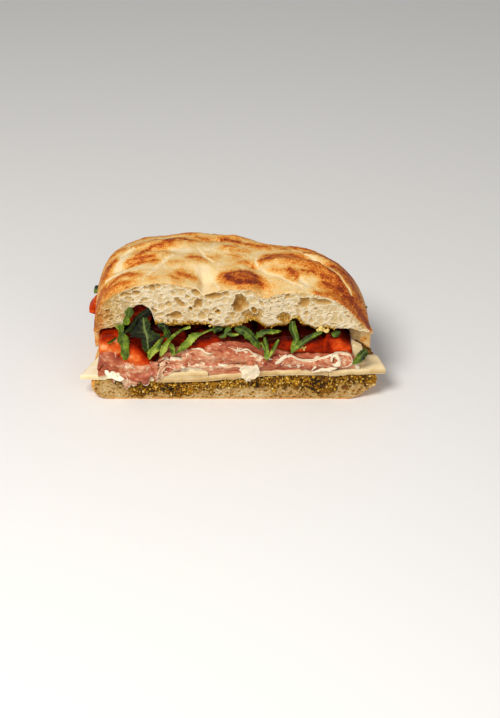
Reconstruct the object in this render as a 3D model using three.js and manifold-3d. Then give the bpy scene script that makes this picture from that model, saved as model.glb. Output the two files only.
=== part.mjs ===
// Half of a focaccia sandwich with prosciutto, mozzarella, tomato and rocket, cut through the middle.
// Millimetres, +Z up. X runs to the right along the cut, Y runs to the back, and the base lies on z = 0.
import * as THREE from 'three'
import Module from 'manifold-3d'

const wasm = await Module()
wasm.setup()

// Driving dimensions of the bread
const CUT_Y = -40
const LID_HALF = 75
const HEEL_HALF = 78.2
const DEPTH_LEFT = 84
const DEPTH_RIGHT = 70
const CORNER_ROUNDING = 0.76
const BREAD_LEAN = { leanLeft: -0.01, leanRight: -0.08 }
const CROWN_LEFT = 73
const CROWN_RIGHT = 70.5
const LIP = 1
const TEAR_DEPTH = 8

// Heights of the layers inside the food
const HEEL_TOP = 10.2
const LID_UNDER = 47.6
const CHEESE_THICKNESS = 3.3
const UPPER_PESTO_THICKNESS = 1
const GAP = 0.35

// Colours
const CRUST = 0xcf8f4a
const HEEL_CRUST = 0xe0b883
const PESTO = 0x8f7420
const CHEESE = 0xf0e2b8
const HAM = 0xc98070
const FAT = 0xeedfce
const TOMATO = 0xc63c1c
const ROCKET = 0x4f7a2c

const clamp = (value, low, high) => Math.min(Math.max(value, low), high)
const mix = (from, to, t) => from + (to - from) * t

function smooth(low, high, value) {
  const t = clamp((value - low) / (high - low), 0, 1)
  return t * t * (3 - 2 * t)
}

// A smooth height through a few [place, height] points
function curveThrough(points) {
  const slopes = points.map((point, i) => {
    const before = points[Math.max(i - 1, 0)]
    const after = points[Math.min(i + 1, points.length - 1)]
    return (after[1] - before[1]) / (after[0] - before[0])
  })
  return place => {
    let i = 0
    while (i < points.length - 2 && place > points[i + 1][0]) i++
    const [x0, z0] = points[i]
    const [x1, z1] = points[i + 1]
    const t = clamp((place - x0) / (x1 - x0), 0, 1)
    const span = x1 - x0
    const ease = t * t * (3 - 2 * t)
    const pull = t * (1 - t) * (1 - t) * slopes[i] * span - t * t * (1 - t) * slopes[i + 1] * span
    return mix(z0, z1, ease) + pull
  }
}

// Outlines of the bread on the cut face
const lidTopAtCut = curveThrough([
  [-75, 45], [-74.4, 51], [-70.7, 60.1], [-65.2, 65.5], [-55.5, 70.9], [-46.1, 73.5], [-36.7, 74.3],
  [-28.4, 73], [-19.1, 70.3], [-15.5, 67], [-7.7, 69.7], [0.7, 70.3], [10.1, 69.7], [16.4, 65.3],
  [24.7, 67.9], [32, 68.5], [42.4, 67.5], [53, 64.3], [60.5, 58.9], [66, 52.7], [70.4, 47.8], [75, 43.5],
])
const lidUnderAtCut = curveThrough([
  [-75, 43.5], [-68.3, 46], [-59.5, 47.6], [-56.5, 56], [-52, 59.4], [-46.5, 60], [-43.4, 56],
  [-41.5, 49.3], [-14.5, 49.1], [-10.3, 47.1], [1, 47.7], [10.1, 51.5], [16.5, 47.8], [29, 49],
  [33.3, 53.2], [37.5, 49], [44.9, 46.6], [66.3, 44.8], [75, 42.2],
])
const heelTopAtCut = curveThrough([
  [-78, 12], [-60, 12.3], [-57, 6], [-54.5, 2.4], [-50, 2.4], [-46, 4.8], [-38, 4.6], [-34, 2.4], [-30, 1.8],
  [-26, 3.6], [-22, 6.2], [-13, 6.6], [-6, 8.4], [17, 8.6], [38, 9.2], [43, 5.2], [48, 4.2], [53, 5.4],
  [57, 10.6], [64, 11.6], [78, 11],
])
const pestoTop = curveThrough([
  [-66, 12.9], [-41, 12.2], [-13, 12.6], [-5, 13.8], [17, 15.8], [26, 16.6], [47, 16.4], [61, 17.1],
  [78, 16.6],
])

// Large pores on the cut face of the lid: x, z, half width, half height, depth
const PORES = [
  [-48, 63.5, 5, 3, 2.2], [-41.5, 63, 5, 2.6, 2], [-50.5, 57.8, 6, 1.6, 1.6], [-67.5, 52, 4.5, 3.4, 2],
  [-61.5, 52.6, 3, 3.4, 1.6], [-27.5, 59.5, 3.6, 4.4, 3], [-17, 58.8, 4.8, 5, 3], [-8, 63.5, 5.4, 3.2, 2],
  [-31, 51.8, 5.6, 3.4, 2.4], [5.5, 58.4, 6, 6.4, 4.4], [12.8, 53.4, 7.6, 4.4, 3.4],
  [41, 59, 5.2, 4.2, 3], [49.5, 59.5, 5.8, 3.6, 2.4], [30, 58, 3, 3, 2], [42, 51, 4, 3.4, 1.8],
]

// Raised and sunk places of the crust: x, y, half length, half width, turn in degrees, height
const BLISTERS = [
  [4.2, -31.5, 11.5, 8, -4, 1.8], [24, -12.5, 9, 5, 4, 2.2], [41, -14, 15, 7, -22, 2.6],
  [58, -25, 13, 7, -38, 2.2], [45, -3, 15, 3.6, -20, 1.8], [60, -14, 10, 3.4, -40, 1.6],
  [36, -24, 8, 4.6, -12, 0.9], [-60, -35, 12, 7, 22, 1.8], [-46, -8, 15, 6, 8, 1.8],
  [-42, 7, 17, 5, 18, 2], [-68, 0, 9, 5, 74, 1.6], [-22, -18, 12, 7, -6, 1], [-4, 4, 11, 6, 10, 1.5],
  [-22, 25, 16, 7, 4, 1.8], [1, 19, 13, 8, -4, 3], [16, 12, 13, 6, -14, 1.2], [-50, 24, 11, 6, 30, 1.4],
  [38, 12, 13, 6, -24, 2],
  [11.7, -16, 5, 4, 0, -2.4], [-56, -18, 15, 3.6, 25, -2], [-40, 0, 16, 3, 14, -1.6],
  [44, -8.5, 14, 2.2, -20, -1.8], [-13, -30, 8, 4.4, -30, -1.4], [22, -24, 11, 4, -16, -1.3],
  [-8, 15, 16, 4, 4, -1.4], [-30, -4, 8, 5, 20, -1.2],
]

function crustRelief(x, y) {
  let height = 0
  for (const [cx, cy, halfLength, halfWidth, turn, rise] of BLISTERS) {
    const angle = THREE.MathUtils.degToRad(turn)
    const along = (x - cx) * Math.cos(angle) + (y - cy) * Math.sin(angle)
    const across = (y - cy) * Math.cos(angle) - (x - cx) * Math.sin(angle)
    height += rise * Math.exp(-1.4 * ((along / halfLength) ** 2 + (across / halfWidth) ** 2))
  }
  return height
}

const breadDepth = x => mix(DEPTH_LEFT, DEPTH_RIGHT, smooth(-28, 44, x))

// How far the sides draw in at a share of the depth: hardly at first, then round the back corners
const narrowing = (share, rounding) => Math.sqrt(1 - rounding * share ** 4.5 / 2)

// The plan of a piece with a straight front and a rounded back: a runs from -1 to 1 to the right, and b from
// 0 to 1 to the back. Its sides may lean, by a share of the depth, and it may turn about its front's middle.
function roundedPlan({
  left, right, front = CUT_Y, depth, rounding = CORNER_ROUNDING, turn = 0, leanLeft = 0, leanRight = 0,
}) {
  const middle = (left + right) / 2
  const half = (right - left) / 2
  const angle = THREE.MathUtils.degToRad(turn)
  return (a, b) => {
    const rounded = half * a * narrowing(b, rounding)
    const y = depth(middle + rounded) * b * Math.sqrt(1 - rounding * a * a / 2)
    const x = rounded + y * mix(leanLeft, leanRight, (a + 1) / 2)
    const turnedX = x * Math.cos(angle) - y * Math.sin(angle)
    const turnedY = x * Math.sin(angle) + y * Math.cos(angle)
    return [middle + turnedX, front + turnedY]
  }
}

// The plan of a filling that narrows to the back as the bread does; reach is its share of the bread's depth
function fillingPlan({ left, right, front, reach, rounding = 0.5 }) {
  const middle = (left + right) / 2
  const half = (right - left) / 2
  return (a, b) => {
    const place = (middle + half * a * narrowing(b, rounding)) / LID_HALF
    const share = reach * b * Math.sqrt(1 - rounding * a * a / 2)
    const x = LID_HALF * place * narrowing(share, CORNER_ROUNDING)
    return [x, front + breadDepth(x) * share * Math.sqrt(1 - CORNER_ROUNDING * place * place / 2)]
  }
}

// Grid steps from -1 to 1 or 0 to 1, closer together near the ends
const sideSteps = count => Array.from({ length: count + 1 }, (_, i) => {
  const t = 2 * i / count - 1
  return 0.4 * t + 0.6 * Math.sin(t * Math.PI / 2)
})
const depthSteps = (count, crowding) => Array.from({ length: count + 1 }, (_, j) => {
  const t = j / count
  return mix(t, t * t * (3 - 2 * t), crowding)
})

// A closed pad between a top and a bottom surface, with a front face that may bulge or be dented
function pad({ across, along, rows = 1, crowding = 0.5, plan, top, bottom, frontOffset = () => 0 }) {
  const vertices = []
  const triangles = []
  const quad = (p, q, r, s) => triangles.push([p, q, r], [p, r, s])
  const sides = sideSteps(across)
  const depths = depthSteps(along, crowding)
  const addSheet = height => sides.map((a, i) => depths.map((b, j) => {
    const [x, y] = plan(a, b)
    const [beside] = plan(sides[i > across / 2 ? i - 1 : i + 1], b)
    const [, behind] = plan(a, depths[j > 0 ? j - 1 : j + 1])
    const reach = [Math.abs(beside - x), Math.abs(behind - y)]
    return vertices.push([x, y, height(x, y, { a, b, reach })]) - 1
  }))
  const high = addSheet(top)
  const low = addSheet(bottom)
  for (let i = 0; i < across; i++) {
    for (let j = 0; j < along; j++) {
      quad(high[i][j], high[i + 1][j], high[i + 1][j + 1], high[i][j + 1])
      quad(low[i][j], low[i][j + 1], low[i + 1][j + 1], low[i + 1][j])
    }
    quad(low[i + 1][along], low[i][along], high[i][along], high[i + 1][along])
  }
  for (let j = 0; j < along; j++) {
    quad(low[across][j], low[across][j + 1], high[across][j + 1], high[across][j])
    quad(low[0][j + 1], low[0][j], high[0][j], high[0][j + 1])
  }

  // The front face has the given number of rows, which fan out from its two corners
  const columns = high.map((line, i) => {
    const [x, y, zHigh] = vertices[line[0]]
    const zLow = vertices[low[i][0]][2]
    const column = [low[i][0]]
    for (let k = 1; k < rows && i > 0 && i < across; k++) {
      const share = k / rows
      const z = mix(zLow, zHigh, share)
      column.push(vertices.push([x, y + frontOffset(x, z, share), z]) - 1)
    }
    return [...column, line[0]]
  })
  const half = Math.floor(rows / 2)
  for (let i = 0; i < across; i++) {
    const here = columns[i]
    const next = columns[i + 1]
    const atCorner = rows > 1 && (i === 0 || i === across - 1)
    if (!atCorner) {
      for (let k = 0; k < here.length - 1; k++) quad(here[k], next[k], next[k + 1], here[k + 1])
      continue
    }
    const [bottomCorner, topCorner] = i === 0 ? here : next
    const fanned = i === 0 ? next : here
    for (let k = 0; k < rows; k++) {
      const apex = k < half ? bottomCorner : topCorner
      triangles.push(i === 0 ? [apex, fanned[k], fanned[k + 1]] : [apex, fanned[k + 1], fanned[k]])
    }
    const middle = fanned[half]
    triangles.push(i === 0 ? [bottomCorner, middle, topCorner] : [bottomCorner, topCorner, middle])
  }
  return { vertices, triangles }
}

// A thin wavy ribbon along a spine, such as a leaf or a stem; both faces are split into triangles alike.
// It is drawn forwards as a whole, station by station, until it clears what stands behind it.
const LEAN_REACH = [1.2, 1.2]

function ribbon({ spine, widths, facing, thickness, stations, across = 2, wave = () => 0, against = [] }) {
  const curve = new THREE.CatmullRomCurve3(spine.map(point => new THREE.Vector3(...point)))
  const normal = new THREE.Vector3(...facing).normalize()
  const offset = normal.clone().multiplyScalar(thickness / 2)
  const vertices = []
  const triangles = []
  const quad = (p, q, r, s) => triangles.push([p, q, r], [p, r, s])
  const front = []
  const back = []
  for (let i = 0; i <= stations; i++) {
    const share = i / stations
    const centre = curve.getPoint(share)
    const side = curve.getTangent(share).cross(normal).normalize()
    const [widthLeft, widthRight] = widths(share)
    const places = []
    for (let j = 0; j <= across; j++) {
      const c = 2 * j / across - 1
      const place = centre.clone().addScaledVector(side, c < 0 ? c * widthLeft : c * widthRight)
      place.addScaledVector(normal, wave(share, c))
      places.push(place)
    }
    const free = places.map(p => frontAt(against, p.x, p.z, LEAN_REACH) - thickness / 2 - GAP - p.y)
    const clear = Math.min(...free, 0)
    for (const place of places) place.y += clear
    front.push(places.map(p => vertices.push(p.clone().add(offset).toArray()) - 1))
    back.push(places.map(p => vertices.push(p.clone().sub(offset).toArray()) - 1))
  }
  for (let i = 0; i < stations; i++) {
    for (let j = 0; j < across; j++) {
      quad(front[i][j], front[i][j + 1], front[i + 1][j + 1], front[i + 1][j])
      quad(back[i][j], back[i + 1][j], back[i + 1][j + 1], back[i][j + 1])
    }
    quad(front[i + 1][0], back[i + 1][0], back[i][0], front[i][0])
    quad(front[i][across], back[i][across], back[i + 1][across], front[i + 1][across])
  }
  for (let j = 0; j < across; j++) {
    quad(back[0][j], back[0][j + 1], front[0][j + 1], front[0][j])
    quad(front[stations][j], front[stations][j + 1], back[stations][j + 1], back[stations][j])
  }
  return { vertices, triangles }
}

// Where a line along one axis meets the triangles of some solids: its largest place, or smallest for sign -1
const SLIVER_AREA = 1e-9

function extremeAt(solids, axisU, axisV, axisW, u, v, sign) {
  let best = -Infinity
  for (const { vertices, triangles } of solids) {
    for (const [ia, ib, ic] of triangles) {
      const p = vertices[ia]
      const q = vertices[ib]
      const r = vertices[ic]
      const [qrU, qrV] = [r[axisU] - q[axisU], q[axisV] - r[axisV]]
      const [rpU, rpV] = [p[axisU] - r[axisU], r[axisV] - p[axisV]]
      const area = qrV * rpU - qrU * rpV
      if (Math.abs(area) < SLIVER_AREA) continue
      const s = (qrV * (u - r[axisU]) + qrU * (v - r[axisV])) / area
      const t = (rpV * (u - r[axisU]) + rpU * (v - r[axisV])) / area
      if (s < 0 || t < 0 || s + t > 1) continue
      best = Math.max(best, sign * (s * p[axisW] + t * q[axisW] + (1 - s - t) * r[axisW]))
    }
  }
  return sign * best
}

// The same within some reach of a place, tried on a small grid of points
const TRIAL_STEPS = [-1, -0.5, 0, 0.5, 1]

function extremeAround(solids, axes, u, v, [reachU, reachV], sign) {
  let best = -Infinity
  for (const stepU of TRIAL_STEPS) {
    for (const stepV of TRIAL_STEPS) {
      best = Math.max(best, sign * extremeAt(solids, ...axes, u + stepU * reachU, v + stepV * reachV, sign))
    }
  }
  return sign * best
}

// The top of what lies below a place, the underside of what lies above it, and the front of what is behind it
const heightAt = (solids, x, y, reach) => extremeAround(solids, [0, 1, 2], x, y, reach, 1)
const undersideAt = (solids, x, y, reach) => extremeAround(solids, [0, 1, 2], x, y, reach, -1)
const frontAt = (solids, x, z, reach) => extremeAround(solids, [0, 2, 1], x, z, reach, -1)

// What carries a place; a place that sticks out past what lies below takes the height a little further in
const STEP_INWARDS = 0.04

function supportAt(solids, x, y, reach) {
  let height = heightAt(solids, x, y, reach)
  for (let share = 1 - STEP_INWARDS; !Number.isFinite(height); share -= STEP_INWARDS) {
    height = heightAt(solids, share * x, Math.max(share * y, CUT_Y + 1), [1, 1])
  }
  return height
}

const manifoldOf = ({ vertices, triangles }) => new wasm.Manifold(new wasm.Mesh({
  numProp: 3,
  vertProperties: new Float32Array(vertices.flat()),
  triVerts: new Uint32Array(triangles.flat()),
}))

function solidOf(manifold) {
  const mesh = manifold.getMesh()
  const vertices = []
  const triangles = []
  for (let i = 0; i < mesh.numVert; i++) vertices.push([...mesh.vertProperties.slice(3 * i, 3 * i + 3)])
  for (let i = 0; i < mesh.numTri; i++) triangles.push([...mesh.triVerts.slice(3 * i, 3 * i + 3)])
  return { vertices, triangles }
}

const group = new THREE.Group()

function addNode(name, solid, colour, roughness) {
  const geometry = new THREE.BufferGeometry()
  geometry.setAttribute('position', new THREE.Float32BufferAttribute(solid.vertices.flat(), 3))
  geometry.setIndex(solid.triangles.flat())
  geometry.computeVertexNormals()
  const material = new THREE.MeshStandardMaterial({ color: colour, roughness, metalness: 0 })
  const mesh = new THREE.Mesh(geometry, material)
  mesh.name = name
  group.add(mesh)
  return solid
}

// Bread heel: a flat base, a lower edge that is slanted on the right and round elsewhere, and a crumb top
const edgeOf = (a, b) => (Math.abs(a) ** 8 + b ** 8) ** (1 / 8)
const HEEL_RIM = 9.6
const BASE_SHARE_LEFT = 0.87
const BASE_SHARE_RIGHT = 0.82
const HEEL_SLANT = 1.15
const HEEL_RISE_LEFT = 2

function heelTop(x, y, { a, b }) {
  const inside = HEEL_TOP + 0.5 * Math.sin(0.09 * x + 1) + HEEL_RISE_LEFT * smooth(-30, -64, x)
  const height = mix(heelTopAtCut(x), inside, smooth(CUT_Y, CUT_Y + 7, y))
  return mix(height, HEEL_RIM + LIP, smooth(0.93, 1, edgeOf(a, b)) ** 2)
}

function heelBottom(x, y, { a, b }) {
  const toRight = smooth(0, 0.5, a)
  const base = mix(BASE_SHARE_LEFT, BASE_SHARE_RIGHT, toRight)
  const share = clamp((edgeOf(a, b) - base) / (1 - base), 0, 1)
  const round = 1 - Math.sqrt(1 - share * share)
  return HEEL_RIM * mix(round, share ** HEEL_SLANT, toRight)
}

const heel = addNode('bread_heel', pad({
  across: 32,
  along: 13,
  rows: 3,
  crowding: 0.9,
  plan: roundedPlan({
    left: -HEEL_HALF, right: HEEL_HALF, depth: x => breadDepth(x) - 1, ...BREAD_LEAN,
  }),
  top: heelTop,
  bottom: heelBottom,
  frontOffset: (x, z) => 0.8 + 0.8 * Math.sin(1.3 * x + z) * Math.sin(0.7 * x - 2 * z),
}), HEEL_CRUST, 0.85)

// Lower pesto: a thick coarse layer over the heel
const THINNEST_PESTO = 1.2
const pestoLower = addNode('pesto_lower', pad({
  across: 34,
  along: 7,
  rows: 2,
  crowding: 0.9,
  plan: roundedPlan({ left: -66, right: 77.4, front: CUT_Y - 0.6, depth: x => breadDepth(x) - 7 }),
  bottom: (x, y, { reach }) => supportAt([heel], x, y, reach) + GAP,
  top: (x, y, { reach }) => Math.max(
    pestoTop(x) + 0.25 * Math.sin(1.1 * x),
    supportAt([heel], x, y, reach) + THINNEST_PESTO,
  ),
  frontOffset: (x, z) => 0.7 * Math.sin(2.1 * x + z) * Math.sin(1.3 * x),
}), PESTO, 0.6)

// Cheese: slices lying on the pesto; the outer two have corners that stick out of the sandwich
const square = { rounding: 0.12 }
const CHEESE_SLICES = [
  {
    name: 'cheese_left',
    across: 7,
    plan: roundedPlan({
      left: -84.2, right: -43.6, front: -40.6, depth: () => 56, turn: -3, leanLeft: 0.4, ...square,
    }),
  },
  {
    name: 'cheese_middle_lower',
    across: 7,
    plan: fillingPlan({ left: -42.6, right: 8, front: -42.3, reach: 0.86, ...square }),
  },
  {
    name: 'cheese_middle_upper',
    across: 4,
    plan: fillingPlan({ left: -43.4, right: -14, front: -42.8, reach: 0.8, ...square }),
  },
  {
    name: 'cheese_right_centre',
    across: 5,
    plan: fillingPlan({ left: 9, right: 50.6, front: -42, reach: 0.88, ...square }),
  },
  {
    name: 'cheese_right',
    across: 5,
    plan: roundedPlan({
      left: 52, right: 83, front: -42, depth: () => 16, turn: 5, leanRight: -0.15, ...square,
    }),
  },
]
const CARRIED_X = 70
const cheese = []
for (const { name, across, plan } of CHEESE_SLICES) {
  const below = [heel, pestoLower, ...cheese]
  const support = (x, y, { reach }) => supportAt(below, clamp(x, -CARRIED_X, CARRIED_X), y, reach) + GAP
  cheese.push(addNode(name, pad({
    across,
    along: 4,
    plan,
    bottom: support,
    top: (...place) => support(...place) + CHEESE_THICKNESS,
  }), CHEESE, 0.4))
}

// Prosciutto: folded slices laid side by side and over each other, with wavy tops and soft fronts
const THINNEST_HAM = 1.2
const HAM_FRONT = CUT_Y - 2
const HAM_LAYERS = [
  {
    name: 'prosciutto_left', left: -74, right: -42.6, reach: 0.9, across: 9,
    top: [[-74, 29.5], [-70, 30.5], [-64, 27], [-58, 24], [-52, 22.8], [-46, 22.6], [-42, 22.4]], fold: 0.7,
  },
  {
    name: 'prosciutto_centre_low', left: -42, right: 6, reach: 0.92, across: 8,
    top: [[-42, 24.6], [-38, 26], [-26, 26.6], [-12, 26], [0, 24.4], [6, 23.4]], fold: 0.6,
  },
  {
    name: 'prosciutto_centre_high', left: -40.6, right: 6, reach: 0.84, across: 9,
    top: [[-40, 28.6], [-36, 31], [-28, 32], [-18, 32.6], [-8, 31], [6, 28.6]], fold: 0.6,
  },
  {
    name: 'prosciutto_right_low', left: 7, right: 56.6, reach: 0.9, across: 9,
    top: [[7, 24], [14, 24.6], [24, 25.4], [36, 26], [50, 25.4], [57, 25]], fold: 0.6,
  },
  {
    name: 'prosciutto_right_high', left: 7, right: 56.2, reach: 0.82, across: 9,
    top: [[7, 28], [18, 28.6], [26, 29.6], [36, 31], [50, 30.4], [57, 29.6]], fold: 0.6,
  },
  {
    name: 'prosciutto_roll', left: 57.4, right: 68, reach: 0.76, across: 6,
    top: [[57, 30.6], [60.5, 32.4], [64, 30.4], [66, 27.6], [68, 25.6]], fold: 0.3,
  },
]
const HAM_FOLD = {
  name: 'prosciutto_fold', left: -14, right: 30, reach: 0.8, across: 9,
  top: [[-14, 34], [-6, 37.6], [0, 38.6], [8, 37.2], [15, 35.5], [22, 33.5], [30, 32]], fold: 0.5,
}

function hamLayer({ left, right, reach, across, top, fold }, below) {
  const outline = curveThrough(top)
  const folds = (x, y) => fold * Math.sin(0.8 * x + 0.12 * y) * Math.cos(0.35 * x - 0.1 * y)
  const support = (x, y, place) => supportAt(below, x, y, place.reach) + GAP
  return pad({
    across,
    along: 4,
    rows: 2,
    plan: fillingPlan({ left, right, front: HAM_FRONT, reach }),
    bottom: support,
    top: (x, y, place) => {
      const low = support(x, y, place)
      const thinning = 0.6 * smooth(0.8, 1, edgeOf(place.a, place.b))
      return Math.max(mix(outline(x) + folds(x, y), low + 2, thinning), low + THINNEST_HAM)
    },
    frontOffset: (x, z) => 0.7 * Math.sin(1.1 * x + 2 * z) - 1,
  })
}

// Half widths of a ribbon to the left and the right, given at even steps along it
function outlined(left, right = left) {
  const [toLeft, toRight] = [left, right].map(widths => (
    curveThrough(widths.map((width, i) => [i / (widths.length - 1), width]))
  ))
  return share => [toLeft(share), toRight(share)]
}

// The frilly end of the left slice hangs down in front of the cheese, and is one body with it
const frill = ribbon({
  spine: [[-66, -43.6, 19], [-60, -44, 16.6], [-54, -44, 15], [-47, -43.8, 17]],
  widths: share => [4 + 1.2 * Math.sin(9 * share), 3.4 + 1.6 * Math.sin(14 * share + 1)],
  facing: [0, -1, 0.1],
  thickness: 1.4,
  stations: 10,
  wave: (share, c) => 0.5 * Math.sin(16 * share + c),
})

const ham = []
for (const layer of HAM_LAYERS) {
  let solid = hamLayer(layer, [heel, pestoLower, ...cheese, ...ham])
  if (ham.length === 0) solid = solidOf(manifoldOf(solid).add(manifoldOf(frill)))
  ham.push(addNode(layer.name, solid, HAM, 0.5))
}

// A torn piece of white fat hangs from under the uppermost fold
ham.push(addNode('prosciutto_fat_strip', ribbon({
  spine: [[9.5, -37, 30.4], [9.4, -42, 29.8], [9.4, -44.8, 26], [9, -45, 21], [8, -44.6, 14.6]],
  widths: outlined([2, 2.6, 3.2, 4.6, 4.8, 1.2], [2, 2.2, 2.6, 4.6, 4.4, 1.2]),
  facing: [0, -1, 1],
  thickness: 1.2,
  stations: 7,
  wave: (share, c) => 0.5 * Math.sin(9 * share) * c,
  against: [heel, pestoLower, ...cheese, ...ham],
}), FAT, 0.4))
ham.push(addNode(HAM_FOLD.name, hamLayer(HAM_FOLD, [...cheese, ...ham]), HAM, 0.5))

// A corner of cheese stands on the rolled slice
cheese.push(addNode('cheese_corner', pad({
  across: 3,
  along: 2,
  plan: roundedPlan({ left: 64.4, right: 70, front: -39.4, depth: () => 4, rounding: 0.1, turn: 8 }),
  bottom: (x, y, { reach }) => supportAt(ham, Math.min(x, 67), y, reach) + GAP,
  top: x => 36 - 0.6 * (x - 64),
}), CHEESE, 0.4))

// Lid: a domed crust over open crumb, its underside torn at the cut, its sides reaching down behind the cut.
// A side thickens over the first of its two widths, and is whole over the second.
const RIM_LEFT = 44
const RIM_RIGHT = 42.4
const RIM_BACK = 47
const WALL_LEFT = [3.6, 2.2]
const WALL_RIGHT = [14.5, 5]
const HOLLOW_DEPTH = 6

function sideDrop(x, y) {
  const left = 13 * smooth(-38, -35, y) * smooth(-16, -28, y)
  const right = 14 * smooth(-35, -32, y) * smooth(2, -16, y)
  return x < 0 ? left : right
}

function lidRim(x, y) {
  return mix(x < 0 ? RIM_LEFT : RIM_RIGHT, RIM_BACK, smooth(-36, 0, y))
}

function lidUnder(x, y, { a }) {
  const inside = mix(LID_UNDER, lidRim(x, y), smooth(0.9, 1, Math.abs(a)))
  const hollow = HOLLOW_DEPTH * smooth(-63, -57, x) * smooth(-40, -45, x)
  const height = mix(lidUnderAtCut(LID_HALF * a), inside, smooth(0, TEAR_DEPTH, y - CUT_Y - 1 - hollow))
  const [wallReach, wallSolid] = a < 0 ? WALL_LEFT : WALL_RIGHT
  const wall = smooth(1 - wallReach / LID_HALF, 1 - wallSolid / LID_HALF, Math.abs(a))
  return height - sideDrop(x, y) * wall
}

function lidTop(x, y, place) {
  const { a, b } = place
  const rim = lidRim(x, y)
  const crown = mix(CROWN_LEFT, CROWN_RIGHT, smooth(-30, 20, x))
  const side = a < 0 ? (1 - a ** 10) ** 0.45 : (1 - a ** 6) ** 0.75
  const dome = rim + (crown - rim) * side
  const height = mix(lidTopAtCut(LID_HALF * a), dome, smooth(0.02, 0.3, b))
  const back = Math.sqrt(1 - b ** 4.4)
  const relief = crustRelief(x, y) * smooth(1, 0.85, edgeOf(a, b)) * smooth(-0.02, 0.06, b)
  const level = rim + (height - rim) * back + relief
  const lip = lidUnder(x, y, place) + LIP
  return Math.max(mix(level, lip, smooth(0.985, 1, Math.abs(a))), lip)
}

function poreDepth(x, z) {
  let depth = 0
  for (const [cx, cz, halfWidth, halfHeight, deep] of PORES) {
    const reach = ((x - cx) / halfWidth) ** 2 + ((z - cz) / halfHeight) ** 2
    depth = Math.max(depth, deep * Math.max(0, 1 - reach))
  }
  return depth
}

const lid = addNode('bread_lid', pad({
  across: 40,
  along: 19,
  rows: 7,
  plan: roundedPlan({ left: -LID_HALF, right: LID_HALF, depth: breadDepth, ...BREAD_LEAN }),
  top: lidTop,
  bottom: lidUnder,
  frontOffset: poreDepth,
}), CRUST, 0.7)

// Upper pesto: a thin smear under the lid
const pestoUpper = addNode('pesto_upper', pad({
  across: 24,
  along: 5,
  plan: roundedPlan({ left: -41, right: 54, front: CUT_Y + 0.4, depth: x => breadDepth(x) - 12 }),
  top: (x, y, { reach }) => undersideAt([lid], x, y, reach) - GAP,
  bottom: (x, y, { reach }) => undersideAt([lid], x, y, reach) - GAP - UPPER_PESTO_THICKNESS,
}), PESTO, 0.6)

// Tomato: slices standing between the prosciutto and the lid
const TOMATO_SLICES = [
  {
    name: 'tomato_left', across: 5, along: 5, full: true,
    plan: fillingPlan({ left: -70.8, right: -60.2, front: -42, reach: 0.5 }),
    top: [[-73, 42], [-66, 43.4], [-60, 43]],
  },
  {
    name: 'tomato_diagonal', across: 5, along: 2,
    plan: roundedPlan({ left: -59.6, right: -44.4, front: -42.4, depth: () => 4.6, rounding: 0.5 }),
    top: [[-60, 36], [-56, 38], [-52, 35], [-48, 30], [-44, 26]],
  },
  {
    name: 'tomato_mid_left', across: 8, along: 5, full: true,
    plan: fillingPlan({ left: -58.6, right: -26, front: -36.4, reach: 0.82 }),
    top: [[-58, 44], [-26, 44]],
  },
  {
    name: 'tomato_centre', across: 8, along: 5, full: true,
    plan: fillingPlan({ left: -25, right: 10.6, front: -41.2, reach: 0.86 }),
    top: [[-25, 38.5], [-16, 41.6], [-8, 42.2], [0, 41], [10, 38.6]],
  },
  {
    name: 'tomato_right_centre', across: 8, along: 5, full: true,
    plan: fillingPlan({ left: 11.6, right: 48, front: -41, reach: 0.88 }),
    top: [[11, 38.6], [18, 40], [24, 41], [34, 41.8], [48, 42]],
  },
  {
    name: 'tomato_right', across: 5, along: 5, full: true,
    plan: fillingPlan({ left: 48.8, right: 63.9, front: -41.4, reach: 0.72 }),
    top: [[48, 41.8], [53, 42.8], [58.4, 43.6], [61, 41], [64, 37.8]],
  },
  {
    name: 'tomato_side', across: 4, along: 3, outwards: 0.42,
    plan: roundedPlan({ left: -80.4, right: -62, front: -5, depth: () => 15, rounding: 0.7 }),
    top: [[-80, 41], [-72, 40.6], [-61, 39]],
  },
  {
    name: 'tomato_notch', across: 4, along: 2, standsOnTomato: true,
    plan: roundedPlan({ left: -56, right: -45.4, front: -35.6, depth: () => 4, rounding: 0.3 }),
    top: [[-56, 56.4], [-51, 58.6], [-45, 58.4]],
  },
]
const TOMATO_CARRIED_X = 65
const THINNEST_TOMATO = 1.2
const EDGE_DROP = 3
const tomato = []
for (const { name, across, along, full, standsOnTomato, outwards = 0, plan, top } of TOMATO_SLICES) {
  const below = standsOnTomato ? tomato : [...cheese, ...ham]
  const outline = curveThrough(top)
  const overhang = x => Math.max(-TOMATO_CARRIED_X - x, 0)
  const support = (x, y, { reach }) => outwards
    ? supportAt(below, Math.max(x, -TOMATO_CARRIED_X), y, reach) + GAP + outwards * overhang(x)
    : supportAt(below, x, y, reach) + GAP
  tomato.push(addNode(name, pad({
    across,
    along,
    rows: 2,
    plan,
    bottom: support,
    top: (x, y, place) => {
      const { a, b } = place
      const ceiling = undersideAt([lid, pestoUpper], x, y, place.reach) - GAP
      const rounded = outline(x) - EDGE_DROP * smooth(0.75, 1, edgeOf(a, b))
      const inside = full ? mix(rounded, ceiling, smooth(0.1, 0.3, b) * smooth(1, 0.8, b)) : rounded
      return Math.max(Math.min(inside, ceiling), support(x, y, place) + THINNEST_TOMATO)
    },
    frontOffset: () => -0.9,
  }), TOMATO, 0.3))
}

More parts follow.
